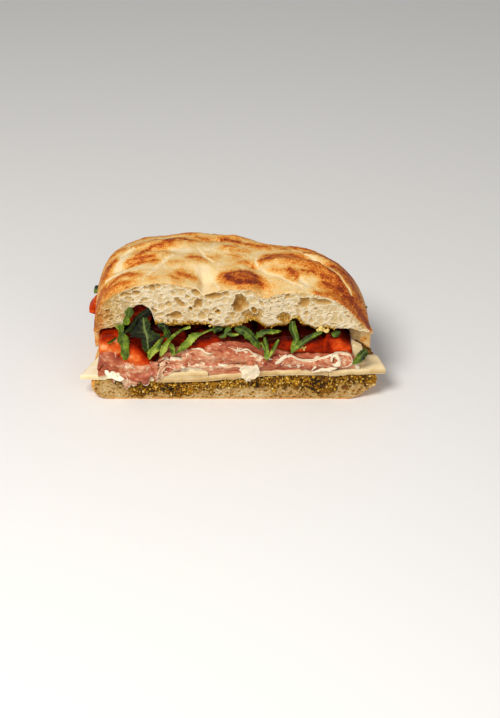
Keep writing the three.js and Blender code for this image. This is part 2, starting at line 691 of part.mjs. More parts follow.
// Rocket: leaves and stems hanging over the front of the tomato and the prosciutto
const curled = (height, turns) => (share, c) => height * Math.sin(2 * Math.PI * turns * share) * c
const FORWARD = [0, -1, 0.25]
const UP = [0, -0.2, 1]
const LEAVES = [
  {
    name: 'rocket_dark_fold', stations: 7,
    spine: [[-44.4, -38, 56], [-48, -38.6, 53.6], [-52, -39.4, 49.6], [-57, -41, 44]],
    widths: outlined([2, 4, 3.6, 2.4, 0.6], [1.2, 2.2, 2, 1.2, 0.5]),
  },
  {
    name: 'rocket_dark_stem', stations: 7,
    spine: [
      [-44.6, -40, 58.2], [-48.9, -41, 55.6], [-52.3, -41.6, 51.1], [-55.2, -42, 47.4], [-58.5, -42.4, 44.2],
    ],
    widths: outlined([0.7, 0.9, 0.9, 0.8]),
  },
  {
    name: 'rocket_curl_left', stations: 8,
    spine: [[-54.7, -41, 59.4], [-55.4, -41.4, 55.8], [-56.7, -41.6, 52], [-56.7, -42, 48.9]],
    widths: outlined([1.6, 2.6, 1.4, 2.2, 0.6], [1, 2.6, 1.2, 2, 0.6]),
  },
  {
    name: 'rocket_hanging_left', stations: 10,
    spine: [[-60.3, -42, 49.5], [-59.5, -42.4, 43.9], [-58.5, -43, 37], [-58.3, -44, 28.1]],
    widths: outlined([2.4, 1.4, 3.4, 2.6, 2.4, 0.8], [3, 1.6, 3.6, 2.2, 2.4, 1]),
  },
  {
    name: 'rocket_big_dark', stations: 10, across: 4,
    spine: [[-48, -40, 52.6], [-47.4, -41, 47], [-46.3, -42, 40.8], [-45.8, -43, 31.3]],
    widths: outlined([2.4, 4.8, 4, 6.2, 2.6, 0.4], [2, 4.6, 8, 5, 3, 0.4]),
  },
  {
    name: 'rocket_dark_right', stations: 6,
    spine: [[-40.2, -40, 48.6], [-37.1, -40.6, 47], [-35.6, -41, 43.9], [-34.1, -42, 40.2]],
    widths: outlined([1, 2.2, 1.8, 2, 0.5]),
  },
  {
    name: 'rocket_stem_left', stations: 9,
    spine: [[-34.2, -42, 45.8], [-38.7, -43, 40.1], [-42.1, -44, 35.1], [-45.5, -45, 29.3]],
    widths: outlined([0.7, 0.7, 1.4, 2.6, 1.8, 0.4], [0.7, 0.8, 1.6, 2.2, 3, 0.4]),
  },
  {
    name: 'rocket_long_stem', stations: 9,
    spine: [
      [-22.9, -41, 47.4], [-28.4, -42, 45.4], [-33.3, -43, 41.4], [-37.2, -44, 36.3], [-39.3, -45, 31.2],
    ],
    widths: outlined([0.8, 0.8, 0.8, 1.1, 2.4, 0.4], [0.8, 0.8, 0.8, 1.1, 1.6, 0.4]),
  },
  {
    name: 'rocket_hook', stations: 5,
    spine: [[-34.4, -43, 38.9], [-32.9, -44, 36.3], [-32.5, -44, 33.2], [-33.4, -44, 31]],
    widths: outlined([0.7, 1.4, 1.3, 0.4]),
  },
  {
    name: 'rocket_slim_leaf', stations: 12,
    spine: [
      [-10.2, -41, 46.4], [-15, -42, 44.8], [-19.9, -43, 43], [-24.2, -44, 39.8], [-28.6, -45, 35.5],
      [-32.5, -45, 31.9],
    ],
    widths: outlined([0.7, 0.7, 1.2, 2.2, 3.2, 2.6, 1.4, 0.3], [0.7, 0.7, 1, 3.2, 2, 2, 0.8, 0.3]),
  },
  {
    name: 'rocket_dark_centre', stations: 5,
    spine: [[-11, -41, 44.6], [-8.4, -41.4, 46.4], [-5.6, -41.4, 46.6]],
    widths: outlined([0.8, 1.8, 1.7, 0.5]),
  },
  {
    name: 'rocket_lobed_centre', stations: 12, across: 4,
    spine: [[1, -41.4, 47], [5.3, -42, 45.6], [9, -43.4, 43], [12.2, -44.4, 39.5], [14.4, -45, 35.7]],
    widths: outlined([1, 2.2, 2.8, 2.8, 2.5, 2, 1.2, 0.2], [1.4, 2.6, 2.2, 3, 2.1, 2.3, 1.3, 0.2]),
  },
  {
    name: 'rocket_small_leaf', stations: 8,
    spine: [[11.7, -43, 42.6], [15.4, -43, 44.8], [19.7, -43, 45.6], [23.4, -42.4, 45.2], [25.8, -42, 45.4]],
    widths: outlined([1.2, 1.5, 1.8, 1.5, 0.9, 0.2], [0.8, 2, 1.2, 1.7, 0.8, 0.2]),
  },
  {
    name: 'rocket_tip_right', stations: 4,
    spine: [[57.6, -41.6, 44.6], [55.4, -41.8, 43.6], [52.6, -41.8, 43.8]],
    widths: outlined([0.5, 1.8, 1.7, 0.5]),
  },
  {
    name: 'rocket_thin_stem', stations: 3,
    spine: [[-62.8, -43, 42], [-64.8, -43, 40.1], [-67.3, -43, 38.2]],
    widths: outlined([0.6, 0.6]),
  },
  {
    name: 'rocket_side_left', stations: 5, facing: UP, leans: false,
    spine: [[-68, 10, 43.4], [-73, 9, 43.6], [-76.6, 8, 42.6], [-79, 7, 40.4]],
    widths: outlined([1, 3, 2.4, 2.8, 0.6]),
  },
  {
    name: 'rocket_side_right', stations: 5, facing: UP, leans: false,
    spine: [[57.9, 0.9, 34.6], [62, 5.2, 35], [67.6, 6.4, 34.9], [72, 5.6, 34], [75.4, 5, 31.8]],
    widths: outlined([0.9, 0.9]),
  },
  {
    name: 'rocket_right', stations: 6,
    spine: [[72, -42, 33.2], [69.9, -43, 31.4], [67.3, -44, 28.5], [64.8, -44, 25.6]],
    widths: outlined([2.4, 2.6, 2.3, 1.8, 0.7]),
  },
]
const SPREAD_LEAVES = [
  {
    name: 'rocket_curl_centre',
    arms: [
      {
        spine: [[-1.1, -42, 46.6], [-3.3, -43, 45.6], [-4.9, -44, 43.8], [-7.6, -44, 42.6]],
        widths: outlined([1.2, 1.8, 1.3, 1.6, 0.3], [1.2, 2, 1, 1.2, 0.3]),
      },
      {
        spine: [[-4, -43.4, 45.4], [-0.6, -44, 43.9], [3.1, -44, 44.3]],
        widths: outlined([0.7, 1.2, 1, 0.3]),
      },
    ],
  },
  {
    name: 'rocket_fork_small',
    arms: [
      {
        spine: [[16.8, -43, 42], [17.6, -44, 37.9], [17.9, -45, 33.5], [17.9, -45, 28.4]],
        widths: outlined([0.8, 1.3, 1.3, 1.5, 0.6]),
      },
      {
        spine: [[24.5, -43, 40.4], [22.4, -44, 36.6], [20.3, -45, 32.8], [18.2, -45, 29.6]],
        widths: outlined([0.5, 1.1, 1, 0.9, 0.6]),
      },
      {
        spine: [[13.8, -43.4, 40.1], [15.4, -44, 38.2], [17.4, -45, 34.6]],
        widths: outlined([0.4, 0.8, 0.6]),
      },
    ],
  },
  {
    name: 'rocket_fork_large',
    arms: [
      {
        spine: [
          [31.6, -41.4, 51], [31.9, -42.6, 47], [33.7, -43.8, 41.7], [32.6, -44.4, 36.6], [31.4, -44.6, 32.8],
        ],
        widths: outlined([1.4, 2.1, 1.9, 1.8, 1.8, 0.6]),
      },
      {
        spine: [[47.5, -42, 44.4], [42.2, -43, 42.6], [38, -44, 40], [34.8, -44.6, 37.2], [32, -44.6, 33.6]],
        widths: outlined([0.8, 1.3, 1.6, 1.7, 1.5, 0.6]),
      },
    ],
  },
]
const LEAF_THICKNESS = 0.7
const STEM_THICKNESS = 1.3
const piled = [heel, pestoLower, ...cheese, ...ham, ...tomato, lid, pestoUpper]
const rocket = []
for (const { name, spine, widths, facing = FORWARD, stations, across, leans = true } of LEAVES) {
  rocket.push(addNode(name, ribbon({
    spine,
    widths,
    facing,
    thickness: LEAF_THICKNESS,
    stations,
    across,
    wave: curled(0.5, 1.5),
    against: leans ? [...piled, ...rocket] : [],
  }), ROCKET, 0.5))
}
for (const { name, arms } of SPREAD_LEAVES) {
  const against = [...piled, ...rocket]
  const whole = arms.map(({ spine, widths }) => manifoldOf(ribbon({
    spine, widths, facing: FORWARD, thickness: STEM_THICKNESS, stations: 7, against,
  }))).reduce((joined, arm) => joined.add(arm))
  rocket.push(addNode(name, solidOf(whole), ROCKET, 0.5))
}

export default group
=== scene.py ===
"""The looks of half a focaccia sandwich: its bread, pesto, cheese, ham, tomato and rocket as fine meshes.

Shapes are worked out in millimetres in the frame of the solids: X to the right along the cut, Y to the back,
Z up, with the cut face at y = -40. A mesh is scaled to metres when its piece is made.
"""

import math
from itertools import combinations

import bpy
import numpy as np
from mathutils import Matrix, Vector
from mathutils.bvhtree import BVHTree


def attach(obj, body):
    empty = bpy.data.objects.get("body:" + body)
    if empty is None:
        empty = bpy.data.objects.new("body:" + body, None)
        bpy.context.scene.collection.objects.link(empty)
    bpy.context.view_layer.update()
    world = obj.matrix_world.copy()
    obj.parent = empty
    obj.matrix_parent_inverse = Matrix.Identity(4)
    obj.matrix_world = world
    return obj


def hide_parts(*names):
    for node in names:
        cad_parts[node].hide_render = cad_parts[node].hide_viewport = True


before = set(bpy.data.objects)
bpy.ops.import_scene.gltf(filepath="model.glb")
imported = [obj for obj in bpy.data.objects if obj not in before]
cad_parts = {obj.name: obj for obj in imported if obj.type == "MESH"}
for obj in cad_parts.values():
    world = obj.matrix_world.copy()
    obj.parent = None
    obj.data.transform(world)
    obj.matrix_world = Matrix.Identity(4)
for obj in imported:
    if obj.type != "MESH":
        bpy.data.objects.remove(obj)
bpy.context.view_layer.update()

MM = 0.001

# Driving dimensions of the bread
CUT_Y = -40
LID_HALF = 75
HEEL_HALF = 78.2
DEPTH_LEFT = 84
DEPTH_RIGHT = 70
CORNER_ROUNDING = 0.76
BREAD_LEAN = (-0.01, -0.08)
CROWN_LEFT = 73
CROWN_RIGHT = 70.5
LIP = 1
TEAR_DEPTH = 8
HEEL_TOP = 10.2
LID_UNDER = 47.6

TOP, BOTTOM, WALL = 0, 1, 2


def mix(low, high, t):
    return low + (high - low) * t


def smooth(low, high, value):
    t = np.clip((value - low) / (high - low), 0, 1)
    return t * t * (3 - 2 * t)


def curve_through(points):
    """A smooth height through a few (place, height) points"""
    places, heights = np.array(points, float).T
    last = len(places) - 1
    before = np.maximum(np.arange(last + 1) - 1, 0)
    after = np.minimum(np.arange(last + 1) + 1, last)
    slopes = (heights[after] - heights[before]) / (places[after] - places[before])

    def height(place):
        i = np.clip(np.searchsorted(places, place) - 1, 0, last - 1)
        span = places[i + 1] - places[i]
        t = np.clip((place - places[i]) / span, 0, 1)
        pull = t * (1 - t) ** 2 * slopes[i] * span - t * t * (1 - t) * slopes[i + 1] * span
        return mix(heights[i], heights[i + 1], t * t * (3 - 2 * t)) + pull

    return height


def lattice(i, j, k, seed):
    """A fixed value from -1 to 1 for each point of a grid of whole numbers"""
    n = (i * 374761393 + j * 668265263 + k * 1274126177 + seed * 69069) & 0xFFFFFFFF
    n = ((n ^ (n >> 13)) * 1274126177) & 0xFFFFFFFF
    return ((n ^ (n >> 16)) & 0xFFFF) / 32767.5 - 1


def noise(x, y, z, size, seed=0):
    """Smooth values from -1 to 1 that change over about size millimetres"""
    places = [np.asarray(v, float) / size for v in np.broadcast_arrays(x, y, z)]
    cells = [np.floor(v).astype(np.int64) for v in places]
    shares = [smooth(0, 1, v - c) for v, c in zip(places, cells)]
    total = 0
    for di in (0, 1):
        for dj in (0, 1):
            for dk in (0, 1):
                weight = 1
                for share, step in zip(shares, (di, dj, dk)):
                    weight = weight * (share if step else 1 - share)
                total = total + weight * lattice(cells[0] + di, cells[1] + dj, cells[2] + dk, seed)
    return total


def rough(x, y, z, size, seed=0, octaves=3):
    """Noise with finer noise on top of it"""
    return sum(noise(x, y, z, size / 2**n, seed + n) / 2**n for n in range(octaves))


def threads(x, z, size, width, seed):
    """1 along thin winding lines on the cut face, and 0 between them"""
    field = noise(x, 0, z, size, seed) + 0.3 * noise(x, 0, z, size / 3, seed + 1)
    return smooth(width / size, 0, np.abs(field))


# Plans of pieces, seen from above


def bread_depth(x):
    return mix(DEPTH_LEFT, DEPTH_RIGHT, smooth(-28, 44, x))


def narrowing(share, rounding):
    """How far the sides draw in at a share of the depth"""
    return np.sqrt(1 - rounding * share**4.5 / 2)


def rounded_plan(left, right, depth, front=CUT_Y, rounding=CORNER_ROUNDING, turn=0, lean=(0, 0)):
    """A straight front and a rounded back: a runs from -1 to 1 to the right, b from 0 to 1 to the back"""
    middle, half = (left + right) / 2, (right - left) / 2
    cos, sin = math.cos(math.radians(turn)), math.sin(math.radians(turn))

    def plan(a, b):
        drawn_in = half * a * narrowing(b, rounding)
        y = depth(middle + drawn_in) * b * np.sqrt(1 - rounding * a * a / 2)
        x = drawn_in + y * mix(lean[0], lean[1], (a + 1) / 2)
        return middle + x * cos - y * sin, front + x * sin + y * cos

    return plan


def filling_plan(left, right, front, reach, rounding=0.5):
    """The plan of a filling that narrows to the back as the bread does"""
    middle, half = (left + right) / 2, (right - left) / 2

    def plan(a, b):
        place = (middle + half * a * narrowing(b, rounding)) / LID_HALF
        share = reach * b * np.sqrt(1 - rounding * a * a / 2)
        x = LID_HALF * place * narrowing(share, CORNER_ROUNDING)
        return x, front + bread_depth(x) * share * np.sqrt(1 - CORNER_ROUNDING * place**2 / 2)

    return plan


def edge_of(a, b):
    return (np.abs(a) ** 8 + b**8) ** (1 / 8)


# Meshes


class Shape:
    """Vertices in millimetres, the faces between them, and named values for each vertex"""

    def __init__(self, vertices, faces, **marks):
        self.vertices = np.asarray(vertices, float)
        self.faces = [np.asarray(group) for group in faces if len(group)]
        self.marks = {name: np.asarray(values, float) for name, values in marks.items()}

    def fill(self, **values):
        """Gives marks one value at every vertex"""
        for name, value in values.items():
            self.marks[name] = np.full(len(self.vertices), float(value))

    def tree(self):
        """What other pieces are laid on: a search tree and the box around it"""
        polygons = [face for group in self.faces for face in group.tolist()]
        tree = BVHTree.FromPolygons(self.vertices.tolist(), polygons)
        return tree, self.vertices.min(0), self.vertices.max(0)


def joined(shapes):
    """Several shapes as one; a value that a shape hasn't got is 0 there"""
    names = {name for shape in shapes for name in shape.marks}
    starts = np.cumsum([0] + [len(shape.vertices) for shape in shapes])
    faces = [group + start for shape, start in zip(shapes, starts) for group in shape.faces]
    marks = {
        name: np.concatenate([s.marks.get(name, np.zeros(len(s.vertices))) for s in shapes])
        for name in names
    }
    return Shape(np.concatenate([shape.vertices for shape in shapes]), faces, **marks)


def side_steps(count, crowding):
    t = np.linspace(-1, 1, count + 1)
    return mix(t, np.sin(t * math.pi / 2), crowding)


def depth_steps(count, crowding):
    t = np.linspace(0, 1, count + 1)
    return mix(t, t * t * (3 - 2 * t), crowding)


def pad(plan, top, bottom, across, along, rows, wall=None, crowding=0.5, spread=0.3, thin_sides=False):
    """A closed pad between a top and a bottom surface, with walls that may bulge or be dented.

    With thin sides only the front wall has rows, and the other walls are one face high.
    """
    a, b = np.meshgrid(side_steps(across, spread), depth_steps(along, crowding), indexing="ij")
    x, y = plan(a, b)
    high = top(x, y, a, b)
    low = np.minimum(bottom(x, y, a, b), high - 0.1)
    grid = np.arange(a.size).reshape(a.shape)
    under = grid + a.size
    corners = [grid[:-1, :-1], grid[1:, :-1], grid[1:, 1:], grid[:-1, 1:]]
    lids = np.stack([c.ravel() for c in corners], 1)
    floors = np.stack([c.ravel() + a.size for c in (corners[0], corners[3], corners[2], corners[1])], 1)

    # The outline, counterclockwise from the front left corner
    steps_i = np.concatenate([
        np.arange(across), np.full(along, across), np.arange(across, 0, -1), np.zeros(along, int),
    ])
    steps_j = np.concatenate([
        np.zeros(across, int), np.arange(along), np.full(across, along), np.arange(along, 0, -1),
    ])
    ring = np.stack([x[steps_i, steps_j], y[steps_i, steps_j]], 1)
    tangent = np.roll(ring, -1, 0) - np.roll(ring, 1, 0)
    tangent /= np.linalg.norm(tangent, axis=1)[:, None] + 1e-9
    outward = np.stack([tangent[:, 1], -tangent[:, 0]], 1)
    has_rows = (steps_j == 0) & (steps_i > 0) & (steps_i < across) if thin_sides else np.ones(len(ring), bool)

    share = np.arange(1, rows) / rows
    rowed = np.flatnonzero(has_rows)
    low_ring, high_ring = low[steps_i, steps_j][rowed], high[steps_i, steps_j][rowed]
    z = low_ring[:, None] + (high_ring - low_ring)[:, None] * share
    wx = np.repeat(ring[rowed, 0][:, None], rows - 1, 1)
    wy = np.repeat(ring[rowed, 1][:, None], rows - 1, 1)
    shares = np.broadcast_to(share, z.shape)
    outwards = wall(wx, wy, z, shares) if wall else np.zeros(z.shape)
    wall_points = np.stack([
        wx + outwards * outward[rowed, 0][:, None], wy + outwards * outward[rowed, 1][:, None], z,
    ], -1)

    first = 2 * a.size
    columns = {}
    for n, place in enumerate(rowed):
        inner = first + n * (rows - 1) + np.arange(rows - 1)
        columns[place] = np.concatenate([
            [under[steps_i[place], steps_j[place]]], inner, [grid[steps_i[place], steps_j[place]]],
        ])
    sides, corner_faces = [], []
    for place in range(len(ring)):
        following = (place + 1) % len(ring)
        ends = [under[steps_i[p], steps_j[p]] for p in (place, following)]
        ends += [grid[steps_i[p], steps_j[p]] for p in (following, place)]
        here, there = columns.get(place), columns.get(following)
        if here is not None and there is not None:
            sides.append(np.stack([here[:-1], there[:-1], there[1:], here[1:]], 1))
        elif here is None and there is None:
            sides.append(np.array([ends]))
        elif here is None:
            corner_faces.append(np.array([[ends[0], *there, ends[3]]]))
        else:
            corner_faces.append(np.array([[here[0], ends[1], ends[2], *here[:0:-1]]]))

    flat = [np.stack([x, y, heights], -1).reshape(-1, 3) for heights in (high, low)]
    ring_a, ring_b = a[steps_i, steps_j][rowed], b[steps_i, steps_j][rowed]
    return Shape(
        np.concatenate([*flat, wall_points.reshape(-1, 3)]),
        [np.concatenate([lids, floors, *sides]), *corner_faces],
        part=np.concatenate([np.full(a.size, TOP), np.full(a.size, BOTTOM), np.full(z.size, WALL)]),
        share=np.concatenate([np.ones(a.size), np.zeros(a.size), shares.ravel()]),
        a=np.concatenate([a.ravel(), a.ravel(), np.repeat(ring_a, rows - 1)]),
        b=np.concatenate([b.ravel(), b.ravel(), np.repeat(ring_b, rows - 1)]),
    )


BLOB_CORNERS = 12


def blobs(centres, sizes, seed, flat=0.25):
    """Small uneven grains with 20 faces each, around their centres"""
    golden = (1 + math.sqrt(5)) / 2
    corners = np.array([(s, t * golden, 0) for s, t in ((-1, 1), (1, 1), (-1, -1), (1, -1))])
    corners = np.concatenate([corners, np.roll(corners, 1, 1), np.roll(corners, 2, 1)])
    corners /= np.linalg.norm(corners[0])
    edge = min(np.linalg.norm(corners[0] - corner) for corner in corners[1:]) * 1.01
    faces = []
    for i, j, k in combinations(range(BLOB_CORNERS), 3):
        p, q, r = corners[i], corners[j], corners[k]
        if max(np.linalg.norm(p - q), np.linalg.norm(q - r), np.linalg.norm(p - r)) < edge:
            outwards = np.dot(np.cross(q - p, r - p), p + q + r) > 0
            faces.append((i, j, k) if outwards else (i, k, j))
    draw = np.random.default_rng(seed)
    count = len(centres)
    squeeze = draw.uniform(1 - flat, 1 + flat, (count, 1, 3))
    uneven = draw.uniform(0.8, 1.2, (count, BLOB_CORNERS, 1))
    places = centres[:, None] + corners[None] * uneven * squeeze * np.asarray(sizes)[:, None, None]
    starts = BLOB_CORNERS * np.arange(count)[:, None, None]
    return Shape(places.reshape(-1, 3), [(np.array(faces)[None] + starts).reshape(-1, 3)])


def per_blob(values):
    """One value for each grain, repeated for its corners"""
    return np.repeat(values, BLOB_CORNERS)


def add_piece(name, shape, material, nodes=(), sharp=60):
    """Makes the Blender object of a shape, in metres, under the root, and hides the parts of the model that
    it stands for
    """
    mesh = bpy.data.meshes.new(name)
    mesh.vertices.add(len(shape.vertices))
    mesh.vertices.foreach_set("co", (shape.vertices * MM).astype(np.float32).ravel())
    corners = np.concatenate([group.ravel() for group in shape.faces]).astype(np.int32)
    sizes = np.concatenate([np.full(len(group), group.shape[1]) for group in shape.faces])
    mesh.loops.add(len(corners))
    mesh.loops.foreach_set("vertex_index", corners)
    mesh.polygons.add(len(sizes))
    mesh.polygons.foreach_set("loop_start", (np.cumsum(sizes) - sizes).astype(np.int32))
    mesh.update(calc_edges=True)
    mesh.validate()
    for mark, values in shape.marks.items():
        layer = mesh.attributes.new(mark, "FLOAT", "POINT")
        layer.data.foreach_set("value", values.astype(np.float32))
    mesh.shade_smooth()
    mesh.set_sharp_from_angle(angle=math.radians(sharp))
    mesh.materials.append(material)
    piece = bpy.data.objects.new(name, mesh)
    bpy.context.scene.collection.objects.link(piece)
    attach(piece, "root")
    if nodes:
        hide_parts(*nodes)
    return piece


# What carries a place, what covers it and what stands behind it


def cast(layers, points, direction, axes):
    """Where rays along one axis first meet the layers: the place on that axis, or nan"""
    axis = int(np.argmax(np.abs(direction)))
    sign = direction[axis]
    ray = Vector(direction)
    best = np.full(len(points), np.nan)
    for tree, low, high in layers:
        inside = np.ones(len(points), bool)
        for n in axes:
            inside &= (points[:, n] >= low[n]) & (points[:, n] <= high[n])
        for n in np.flatnonzero(inside):
            hit = tree.ray_cast(Vector(points[n]), ray)[0]
            if hit is not None and not (sign * best[n] <= sign * hit[axis]):
                best[n] = hit[axis]
    return best


# Where rays start
HIGH_ABOVE = 200
FAR_BELOW = -20
FAR_BEFORE = -90
# How much nearer to the middle each new try for a support is
STEP_IN = 0.03


def column(x, y, height):
    return np.stack([np.ravel(x), np.ravel(y), np.full(np.size(x), float(height))], 1)


def tops(layers, x, y):
    return cast(layers, column(x, y, HIGH_ABOVE), (0, 0, -1), (0, 1)).reshape(np.shape(x))


def undersides(layers, x, y):
    return cast(layers, column(x, y, FAR_BELOW), (0, 0, 1), (0, 1)).reshape(np.shape(x))


def fronts(layers, x, z):
    points = np.stack([np.ravel(x), np.full(np.size(x), float(FAR_BEFORE)), np.ravel(z)], 1)
    return cast(layers, points, (0, 1, 0), (0, 2)).reshape(np.shape(x))


def around(grid):
    """The four neighbours of every place of a grid"""
    wide = np.pad(grid, 1, mode="edge")
    return [wide[:-2, 1:-1], wide[2:, 1:-1], wide[1:-1, :-2], wide[1:-1, 2:]]


def blurred(grid, times):
    for _ in range(times):
        grid = (sum(around(grid)) + 2 * grid) / 6
    return grid


def softened(grid, times, keep):
    """A grid of heights blurred a few times, and kept above (1) or below (-1) what it was"""
    result = blurred(grid, times)
    return np.maximum(result, grid) if keep > 0 else np.minimum(result, grid)


def bridged(grid, times):
    """A stiff sheet laid on a grid of heights: it spans the hollows between the peaks"""
    peaks = grid
    for _ in range(times):
        peaks = np.maximum.reduce([peaks, *around(peaks)])
    return np.maximum(blurred(peaks, 2 * times), grid)


def support(layers, x, y, times=2):
    """The height of what lies below; past its edge, the height a little further in"""
    height = tops(layers, x, y)
    share = 1 - STEP_IN
    while np.isnan(height).any() and share > 0:
        missing = np.isnan(height)
        height[missing] = tops(layers, share * x[missing], np.maximum(share * y[missing], CUT_Y + 1))
        share -= STEP_IN
    return softened(height, times, 1)


# Materials


def rgb(red, green, blue):
    """A linear colour from one measured on a screen, 0 to 255"""
    def linear(value):
        share = value / 255
        return share / 12.92 if share <= 0.04045 else ((share + 0.055) / 1.055) ** 2.4

    return linear(red), linear(green), linear(blue), 1


def shades(*rows):
    """The stops of a ramp: a place from 0 to 1, and red, green and blue there, 0 to 255"""
    return [(place, rgb(*colour)) for place, *colour in rows]


class Paint:
    """A material and short ways to add nodes to it"""

    def __init__(self, name, **shader_values):
        self.material = bpy.data.materials.new(name)
        self.material.use_nodes = True
        self.tree = self.material.node_tree
        self.shader = self.tree.nodes["Principled BSDF"]
        for socket, value in shader_values.items():
            self.shader.inputs[socket.replace("_", " ")].default_value = value

    def node(self, kind, **settings):
        made = self.tree.nodes.new(kind)
        for name, value in settings.items():
            setattr(made, name, value)
        return made

    def link(self, source, target):
        self.tree.links.new(source, target)

    def mark(self, name):
        return self.node("ShaderNodeAttribute", attribute_name=name).outputs["Fac"]

    def noise(self, size, detail=3, stretch=(1, 1, 1), contrast=None):
        """Noise whose features are about size millimetres; contrast gives the values that become 0 and 1"""
        place = self.node("ShaderNodeTexCoord").outputs["Object"]
        mapping = self.node("ShaderNodeMapping")
        mapping.inputs["Scale"].default_value = stretch
        self.link(place, mapping.inputs["Vector"])
        made = self.node("ShaderNodeTexNoise")
        made.inputs["Scale"].default_value = 1 / (size * MM)
        made.inputs["Detail"].default_value = detail
        self.link(mapping.outputs["Vector"], made.inputs["Vector"])
        return self.spread(made.outputs["Fac"], *contrast) if contrast else made.outputs["Fac"]

    def grain(self, size, detail, amount=1):
        """Noise around 0, times an amount"""
        return self.times(self.sum(self.noise(size, detail), -0.5), amount)

    def spread(self, value, low, high):
        made = self.node("ShaderNodeMapRange", interpolation_type="SMOOTHSTEP")
        made.inputs["From Min"].default_value = low
        made.inputs["From Max"].default_value = high
        self.link(value, made.inputs["Value"])
        return made.outputs["Result"]

    def sum(self, first, second, kind="ADD"):
        made = self.node("ShaderNodeMath", operation=kind)
        for value, socket in ((first, made.inputs[0]), (second, made.inputs[1])):
            if isinstance(value, (int, float)):
                socket.default_value = value
            else:
                self.link(value, socket)
        return made.outputs["Value"]

    def times(self, first, second):
        return self.sum(first, second, "MULTIPLY")

    def ramp(self, value, stops):
        """A colour for each value, through (place, colour) stops"""
        made = self.node("ShaderNodeValToRGB")
        elements = made.color_ramp.elements
        while len(elements) < len(stops):
            elements.new(0.5)
        for element, (place, colour) in zip(elements, stops):
            element.position = place
            element.color = colour
        self.link(value, made.inputs["Fac"])
        return made.outputs["Color"]

    def blend(self, share, first, second):
        """From one colour to another; each is a node's output or a fixed colour"""
        made = self.node("ShaderNodeMix", data_type="RGBA")
        self.link(share, made.inputs[0])
        for colour, socket in ((first, made.inputs[6]), (second, made.inputs[7])):
            if isinstance(colour, tuple):
                socket.default_value = colour
            else:
                self.link(colour, socket)
        return made.outputs[2]

    def finish(self, colour, roughness=None, bump=None, distance=0.3):
        """Joins the colour, the roughness and a bump height in millimetres to the shader"""
        self.link(colour, self.shader.inputs["Base Color"])
        if roughness is not None:
            self.link(roughness, self.shader.inputs["Roughness"])
        if bump is not None:
            made = self.node("ShaderNodeBump")
            made.inputs["Strength"].default_value = 1
            made.inputs["Distance"].default_value = distance * MM
            self.link(bump, made.inputs["Height"])
            self.link(made.outputs["Normal"], self.shader.inputs["Normal"])
        return self.material


def bread_material():
    """Crust by how brown it is, crumb by its tone with shade painted in its pores, and pesto soaked into the
    crumb
    """
    paint = Paint("bread", Specular_IOR_Level=0.3, Subsurface_Weight=0.08, Subsurface_Radius=(1, 0.6, 0.3),
                  Subsurface_Scale=1.2 * MM)
    mottle = paint.grain(3.2, 5)
    fine = paint.grain(0.8, 3)
    brown = paint.mark("brown")
    speckle = paint.times(paint.sum(paint.times(mottle, 0.8), paint.times(fine, 1.2)), paint.sum(brown, 0.22))
    brown = paint.sum(brown, speckle)
    crust = paint.ramp(brown, shades(
        (0, 239, 214, 168), (0.16, 236, 200, 134), (0.32, 229, 167, 80), (0.5, 210, 120, 26),
        (0.68, 178, 78, 8), (0.84, 146, 54, 6), (1, 112, 38, 6),
    ))
    pit = paint.sum(paint.mark("pit"), paint.sum(paint.times(fine, 0.4), paint.times(mottle, 0.15)))
    crumb = paint.ramp(pit, shades(
        (0, 224, 208, 178), (0.2, 210, 187, 142), (0.5, 189, 152, 90), (0.75, 164, 118, 50),
        (1, 126, 78, 20),
    ))
    stain = paint.spread(paint.sum(paint.mark("stain"), paint.times(fine, 0.8)), 0.3, 0.8)
    pesto = paint.ramp(paint.noise(1.1, 4, contrast=(0.3, 0.7)), shades(
        (0, 104, 66, 10), (0.5, 170, 122, 34), (1, 212, 170, 84),
    ))
    inside = paint.blend(stain, crumb, pesto)
    colour = paint.blend(paint.mark("crust"), inside, crust)
    roughness = paint.sum(0.8, paint.times(paint.times(paint.mark("crust"), brown), -0.36))
    bump = paint.sum(paint.times(fine, 0.8), paint.times(paint.noise(0.35, 2), 0.4))
    return paint.finish(colour, roughness, bump, 0.35)


def ham_material():
    """Cured meat from mauve to salmon with fine fibres, and white fat"""
    paint = Paint("prosciutto", Roughness=0.4, Specular_IOR_Level=0.35, Subsurface_Weight=0.15,
                  Subsurface_Radius=(1, 0.35, 0.25), Subsurface_Scale=1.5 * MM,
                  Coat_Weight=0.06, Coat_Roughness=0.3)
    fibres = paint.noise(0.9, 4, stretch=(0.4, 1, 1.25))
    tone = paint.sum(paint.mark("tone"), paint.times(paint.sum(fibres, -0.5), 0.85))
    tone = paint.sum(tone, paint.grain(5, 3, 0.6))
    meat = paint.ramp(tone, shades(
        (0, 134, 44, 18), (0.3, 168, 78, 44), (0.55, 193, 114, 76), (0.8, 212, 152, 114),
        (1, 229, 190, 152),
    ))
    fat = paint.spread(paint.sum(paint.mark("fat"), paint.grain(1.2, 3, 0.7)), 0.4, 0.7)
    colour = paint.blend(fat, meat, rgb(237, 219, 188))
    return paint.finish(colour, None, fibres, 0.3)


def grained(name, mark, grain, stops, bump, distance, over=None, **looks):
    """A material coloured by a mark with some grain; over is another mark, and the colour where it is 1"""
    paint = Paint(name, **looks)
    colour = paint.ramp(paint.sum(paint.mark(mark), paint.grain(*grain)), stops)
    if over:
        colour = paint.blend(paint.mark(over[0]), colour, over[1])
    return paint.finish(colour, None, paint.noise(*bump), distance)


